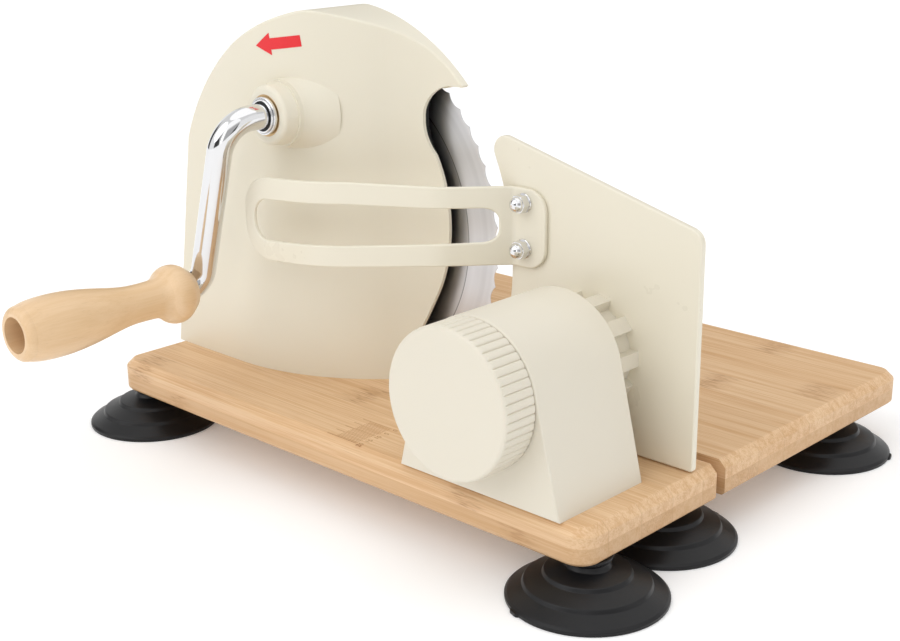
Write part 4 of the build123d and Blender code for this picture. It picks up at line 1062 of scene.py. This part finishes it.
# ---------------------------------------------------------------- guide plate and arm
@dataclass
class GuideAssembly:
    """Guide plate with its splined drum, the slotted arm and the domed nuts."""

    plate_hollow_mm: float = 107.5
    plate_corner_mm: float = 6.0
    plate_edge_mm: float = 0.7
    top_left_mm: Point2 = (20.0, 156.2)
    top_right_mm: Point2 = (137.5, 126.0)
    bottom_mm: float = 32.5
    arm_route: tuple[tuple[float, float, float], ...] = (
        (66.0, -47.0, 0.0), (48.0, -47.0, 5.0), (27.0, -69.0, 30.0), (-22.0, -92.0, 60.0), (-63.0, -94.6, 0.0),
    )
    arm_outline: tuple[tuple[float, float, float], ...] = (
        (65.4, 98.6, 9.0), (65.4, 131.0, 9.0), (28.0, 131.0, 60.0), (-10.0, 130.6, 0.0), (-62.5, 127.4, 14.0),
        (-62.5, 91.2, 14.0), (-10.0, 94.8, 0.0), (28.0, 98.4, 60.0),
    )
    arm_slot: tuple[tuple[float, float, float], ...] = (
        (43.5, 108.2, 5.0), (43.5, 122.2, 5.0), (28.0, 122.2, 60.0), (-10.0, 121.4, 0.0), (-57.0, 118.2, 8.0),
        (-57.0, 100.2, 8.0), (-10.0, 103.8, 0.0), (28.0, 107.6, 60.0),
    )
    arm_thickness_mm: float = 2.0
    arm_edge_mm: float = 0.65
    bend_spacing_mm: float = 2.0
    nut_places: tuple[Point2, ...] = ((54.5, 125.2), (54.5, 106.4))
    drum_screw_ring_mm: float = 14.0
    drum_screw_head_mm: float = 3.75
    arm_screw_head_mm: float = 3.65

    def build(self) -> None:
        """Make the plate, the arm and the nuts, and dress the drum and screws."""
        self.make_plate()
        self.make_arm()
        for number, place in enumerate(self.nut_places, start=1):
            self.make_nut(number, place)
        # The drum takes the darker copy of the cream: painted shade for its low place under the hood.
        dress_nodes(SHADED_CREAM_PLASTIC, "plate_drum")
        dress_nodes(ZINC, "drum_screws", "arm_screws")

    def plate_outline(self) -> list[Point2]:
        """Outline of the plate: hollow arc on the left, sloping top and rounded corners."""
        centre = Vector((KNIFE_AXIS.x, KNIFE_AXIS.z)) / MM
        start, end = Vector(self.top_left_mm), Vector(self.top_right_mm)
        along = (end - start).normalized()
        normal = Vector((-along.y, along.x))
        corner = self.plate_corner_mm
        base = start - normal * corner
        reach = self.plate_hollow_mm + corner
        nearest = (centre - base).dot(along)
        away = (base + along * nearest - centre).length
        middle = base + along * (nearest + sqrt(reach ** 2 - away ** 2))
        low_angle = atan2(self.bottom_mm - centre.y, sqrt(self.plate_hollow_mm ** 2 - (self.bottom_mm - centre.y) ** 2))
        spoke = (middle - centre).normalized()
        high_angle = atan2(spoke.y, spoke.x)
        hollow = arc(tuple(centre), self.plate_hollow_mm, low_angle * 180 / pi, high_angle * 180 / pi, 64)
        first = atan2(-spoke.y, -spoke.x) * 180 / pi + 360
        last = atan2(normal.y, normal.x) * 180 / pi
        tip = arc(tuple(middle), corner, first, last, 10)[1:]
        right, bottom = self.top_right_mm[0], self.bottom_mm
        touch = middle + normal * corner
        rest = rounded([(touch.x, touch.y, 0.0), (*self.top_right_mm, corner), (right, bottom, 1.5),
                        (hollow[0][0], bottom, 0.0)])
        return hollow + tip + rest[1:-1]

    def make_plate(self) -> None:
        """Flat plate with rounded edges and its screw holes."""
        low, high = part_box("guide_plate")
        thickness = (high.y - low.y) / MM
        knob_x, knob_z = KNOB_AXIS.x / MM, KNOB_AXIS.z / MM
        plate = outline_plate(self.plate_outline(), [], thickness, self.plate_edge_mm)
        moved(plate, Vector((0.0, (low.y + high.y) / 2, 0.0)))
        sinks = bmesh.new()
        drum_screws = arc((knob_x, knob_z), self.drum_screw_ring_mm, 45, 315, 3)
        heads = [(*place, self.drum_screw_head_mm) for place in drum_screws]
        heads += [(*place, self.arm_screw_head_mm) for place in self.nut_places]
        for x, z, head in heads:
            mouth = Vector((x * MM, high.y, z * MM))
            add_sink(sinks, mouth, False, ((-0.5, head + 0.5), (0.0, head), (1.8, 1.9), (thickness + 1.0, 1.9)))
        plate = cut(plate, mesh_from_bmesh(sinks))
        settle(piece_from("hollowed_plate", plate), CREAM_ENAMEL, "plate", "cream_enamel", "guide_plate")

    def arm_line(self) -> list[Point2]:
        """Plan line of the arm's back face from its left end to its root."""
        points = rounded(self.arm_route, closed=False, steps=14)
        return sorted(points)

    def make_arm(self) -> None:
        """Cut the slotted strip flat, then bend it along its plan line."""
        thickness = self.arm_thickness_mm
        flat = outline_plate(rounded(self.arm_outline), [rounded(self.arm_slot)], thickness, self.arm_edge_mm)
        bm = bmesh.new()
        bm.from_mesh(flat)
        bpy.data.meshes.remove(flat)
        spacing, first, last = self.bend_spacing_mm, -61.0, 64.0
        for count in range(int((last - first) / spacing) + 1):
            cut_x = (first + count * spacing) * MM
            everything = list(bm.verts) + list(bm.edges) + list(bm.faces)
            bmesh.ops.bisect_plane(bm, geom=everything, plane_co=(cut_x, 0, 0), plane_no=(1, 0, 0), dist=1e-7)
        line = self.arm_line()
        for vertex in bm.verts:
            vertex.co = self.bent(line, vertex.co, thickness)
        settle(piece_from("bent_arm", mesh_from_bmesh(bm), 40.0), CREAM_ENAMEL, "plate", "cream_enamel", "slice_arm")

    def bent(self, line: list[Point2], point: Vector, thickness: float) -> Vector:
        """Place of a point of the flat strip once the strip is bent.

        Args:
            line: Plan line of the strip's back face, from left to right.
            point: Point of the flat strip in metres, with Y measured from the strip's middle.
            thickness: Thickness of the strip in millimetres.

        Returns:
            The bent point in metres.
        """
        x = min(max(point.x / MM, line[0][0] + 1e-6), line[-1][0] - 1e-6)
        index = next(number for number in range(1, len(line)) if line[number][0] >= x)
        left, right = Vector(line[index - 1]), Vector(line[index])
        share = (x - left.x) / max(1e-9, right.x - left.x)
        on_line = left.lerp(right, share)
        before = Vector(line[max(0, index - 2)])
        after = Vector(line[min(len(line) - 1, index + 1)])
        direction = (right - left).normalized().lerp((after - before).normalized(), 0.5).normalized()
        normal = Vector((direction.y, -direction.x))
        away = point.y / MM + thickness / 2
        outward = thickness - away
        spot = on_line + normal * outward
        return Vector((spot.x * MM, BOARD_MIDDLE.y + spot.y * MM, point.z))

    def make_nut(self, number: int, place: Point2) -> None:
        """Domed hexagon nut on a washer.

        Args:
            number: Number in the piece's name.
            place: X and Z of its axis in millimetres.
        """
        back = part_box("acorn_nuts")[1].y / MM
        washer, across, dome = 4.0, 3.9, 3.2
        section = [
            (back, washer - 0.2, 0.0), (back - 0.15, washer, 0.0), (back - 0.6, washer, 0.0),
            (back - 0.8, washer - 0.2, 0.0), (back - 0.8, across * 0.93, 0.5), (back - 1.1, across, 1.0),
            (back - 3.9, across, 1.0), (back - 4.35, across * 0.93, 0.5), (back - 4.4, dome, 0.0),
        ]
        section += [(back - 4.4 - dome * 0.95 * sin(radians(tilt)), dome * cos(radians(tilt)), 0.0)
                    for tilt in (10, 22, 34, 46, 58, 70, 80)]
        rings = []
        for y, radius, hexagon in section:
            ring = []
            for step in range(72):
                angle = 2 * pi * step / 72
                flat = cos(pi / 6) / cos((angle % (pi / 3)) - pi / 6)
                reach = radius * (1 - hexagon + hexagon * min(1.0, flat * 1.02)) * MM
                ring.append(Vector((place[0] * MM + reach * cos(angle), y * MM, place[1] * MM + reach * sin(angle))))
            rings.append(ring)
        nodes = ("acorn_nuts",) if number == 1 else ()
        settle(piece_from(f"domed_nut_{number}", mesh_from_bmesh(loft(rings))), CHROME, "plate", "bright_chrome",
               *nodes)


# ---------------------------------------------------------------- studio
@dataclass
class Studio:
    """Pale floor, soft lights and the camera."""

    camera_place: tuple[float, float, float] = (0.426469, -0.439774, 0.2595)
    camera_azimuth: float = 43.678
    camera_elevation: float = 17.806
    camera_roll: float = -0.554
    camera_lens: float = 58.87
    floor_radius: float = 6.0
    white: Colour = (0.94, 0.94, 0.94)
    panel_tone: float = 0.97
    gap_tone: float = 0.06
    ceiling_tone: float = 0.80

    def build(self) -> None:
        """Set up the stage, the lights and the camera."""
        bpy.context.scene.view_settings.view_transform = "Standard"
        self.make_floor()
        self.make_world()
        self.make_lights()
        self.make_camera()

    def make_floor(self) -> None:
        """One round sheet, wide enough to fill the view to its top edge."""
        bm = bmesh.new()
        bm.faces.new([bm.verts.new((x, y, 0.0)) for x, y in circle(self.floor_radius, 96)])
        floor = bpy.data.objects.new("stage_floor", mesh_from_bmesh(bm))
        bpy.context.scene.collection.objects.link(floor)
        dress(floor, MouldedFinish("stage_white", self.white, 0.65, grain=60.0, depth_mm=0.0, strength=0.0,
                                   tone_spread=0.0, specular=0.2, glow=0.14))

    def make_world(self) -> None:
        """Ring of tall pale panels with dark gaps between them, under a pale ceiling."""
        world = bpy.data.worlds.new("studio_world")
        bpy.context.scene.world = world
        world.use_nodes = True
        sheet = Sheet(world.node_tree)
        world.node_tree.nodes.clear()
        direction = sheet.add("TexCoord").outputs["Generated"]
        axes = sheet.add("SeparateXYZ", {"0": direction})
        around = sheet.math("ARCTAN2", axes.outputs[1], axes.outputs[0])
        waves = sheet.math("ADD", sheet.math("SINE", sheet.math("MULTIPLY", around, 5.0)),
                           sheet.math("MULTIPLY", sheet.math("SINE", sheet.math("MULTIPLY", around, 2.0)), 0.8))
        panels = sheet.ramp(waves, -0.15, 0.10, self.gap_tone, self.panel_tone)
        ceiling = sheet.ramp(axes.outputs[2], 0.42, 0.62)
        shade = sheet.add("Mix", {"0": ceiling, "2": panels, "3": self.ceiling_tone}).outputs[0]
        colour = sheet.add("CombineColor", {"0": shade, "1": shade, "2": shade})
        background = sheet.add("Background", {"Color": colour.outputs[0], "Strength": 1.0})
        output = sheet.add("OutputWorld")
        world.node_tree.links.new(background.outputs[0], output.inputs["Surface"])

    def make_light(self, name: str, place: Vector, spread: float, strength: float) -> None:
        """One broad distant light that shines on the origin.

        Args:
            name: Name of the light.
            place: Direction that it comes from.
            spread: Width of the light in degrees.
            strength: Strength in watts per square metre.
        """
        light = bpy.data.lights.new(name, "SUN")
        light.angle = radians(spread)
        light.energy = strength
        lamp = bpy.data.objects.new(name, light)
        lamp.location = place
        lamp.rotation_euler = (-place).to_track_quat("-Z", "Y").to_euler()
        bpy.context.scene.collection.objects.link(lamp)

    def make_lights(self) -> None:
        """Key from the upper left in front, fill from the right and in front, and a soft top light."""
        self.make_light("key_light", Vector((-0.4, -1.5, 1.2)), 50.0, 0.75)
        self.make_light("fill_light", Vector((1.2, -1.0, 0.8)), 70.0, 0.45)
        self.make_light("top_light", Vector((0.1, 0.4, 1.6)), 70.0, 0.50)

    def make_camera(self) -> None:
        """Camera from its place, direction, roll and lens."""
        azimuth, elevation = radians(self.camera_azimuth), radians(self.camera_elevation)
        roll = radians(self.camera_roll)
        back = Vector((sin(azimuth) * cos(elevation), -cos(azimuth) * cos(elevation), sin(elevation)))
        level = (-back).cross(Vector((0, 0, 1))).normalized()
        upright = level.cross(-back)
        right = level * cos(roll) + upright * sin(roll)
        up = upright * cos(roll) - level * sin(roll)
        data = bpy.data.cameras.new("camera")
        data.sensor_width = 36.0
        data.lens = self.camera_lens
        data.clip_start = 0.01
        camera = bpy.data.objects.new("camera", data)
        turn = Matrix((right, up, back)).transposed().to_4x4()
        camera.matrix_world = Matrix.Translation(Vector(self.camera_place)) @ turn
        bpy.context.scene.collection.objects.link(camera)
        bpy.context.scene.camera = camera


# ---------------------------------------------------------------- everything in order
def corners(bounds: tuple[Vector, Vector]) -> list[list[float]]:
    """Two corners as plain lists."""
    return [list(corner) for corner in bounds]


def main() -> None:
    """Build the studio and every assembly."""
    logging.basicConfig(level=logging.INFO, format="%(name)s: %(message)s")
    Studio().build()
    for assembly in (BoardAssembly(), GearCase(), CrankAssembly(), KnifeAssembly(), ThicknessControl(),
                     GuideAssembly()):
        LOG.info("building %s", type(assembly).__name__)
        assembly.build()


if __name__ == "__main__":
    main()
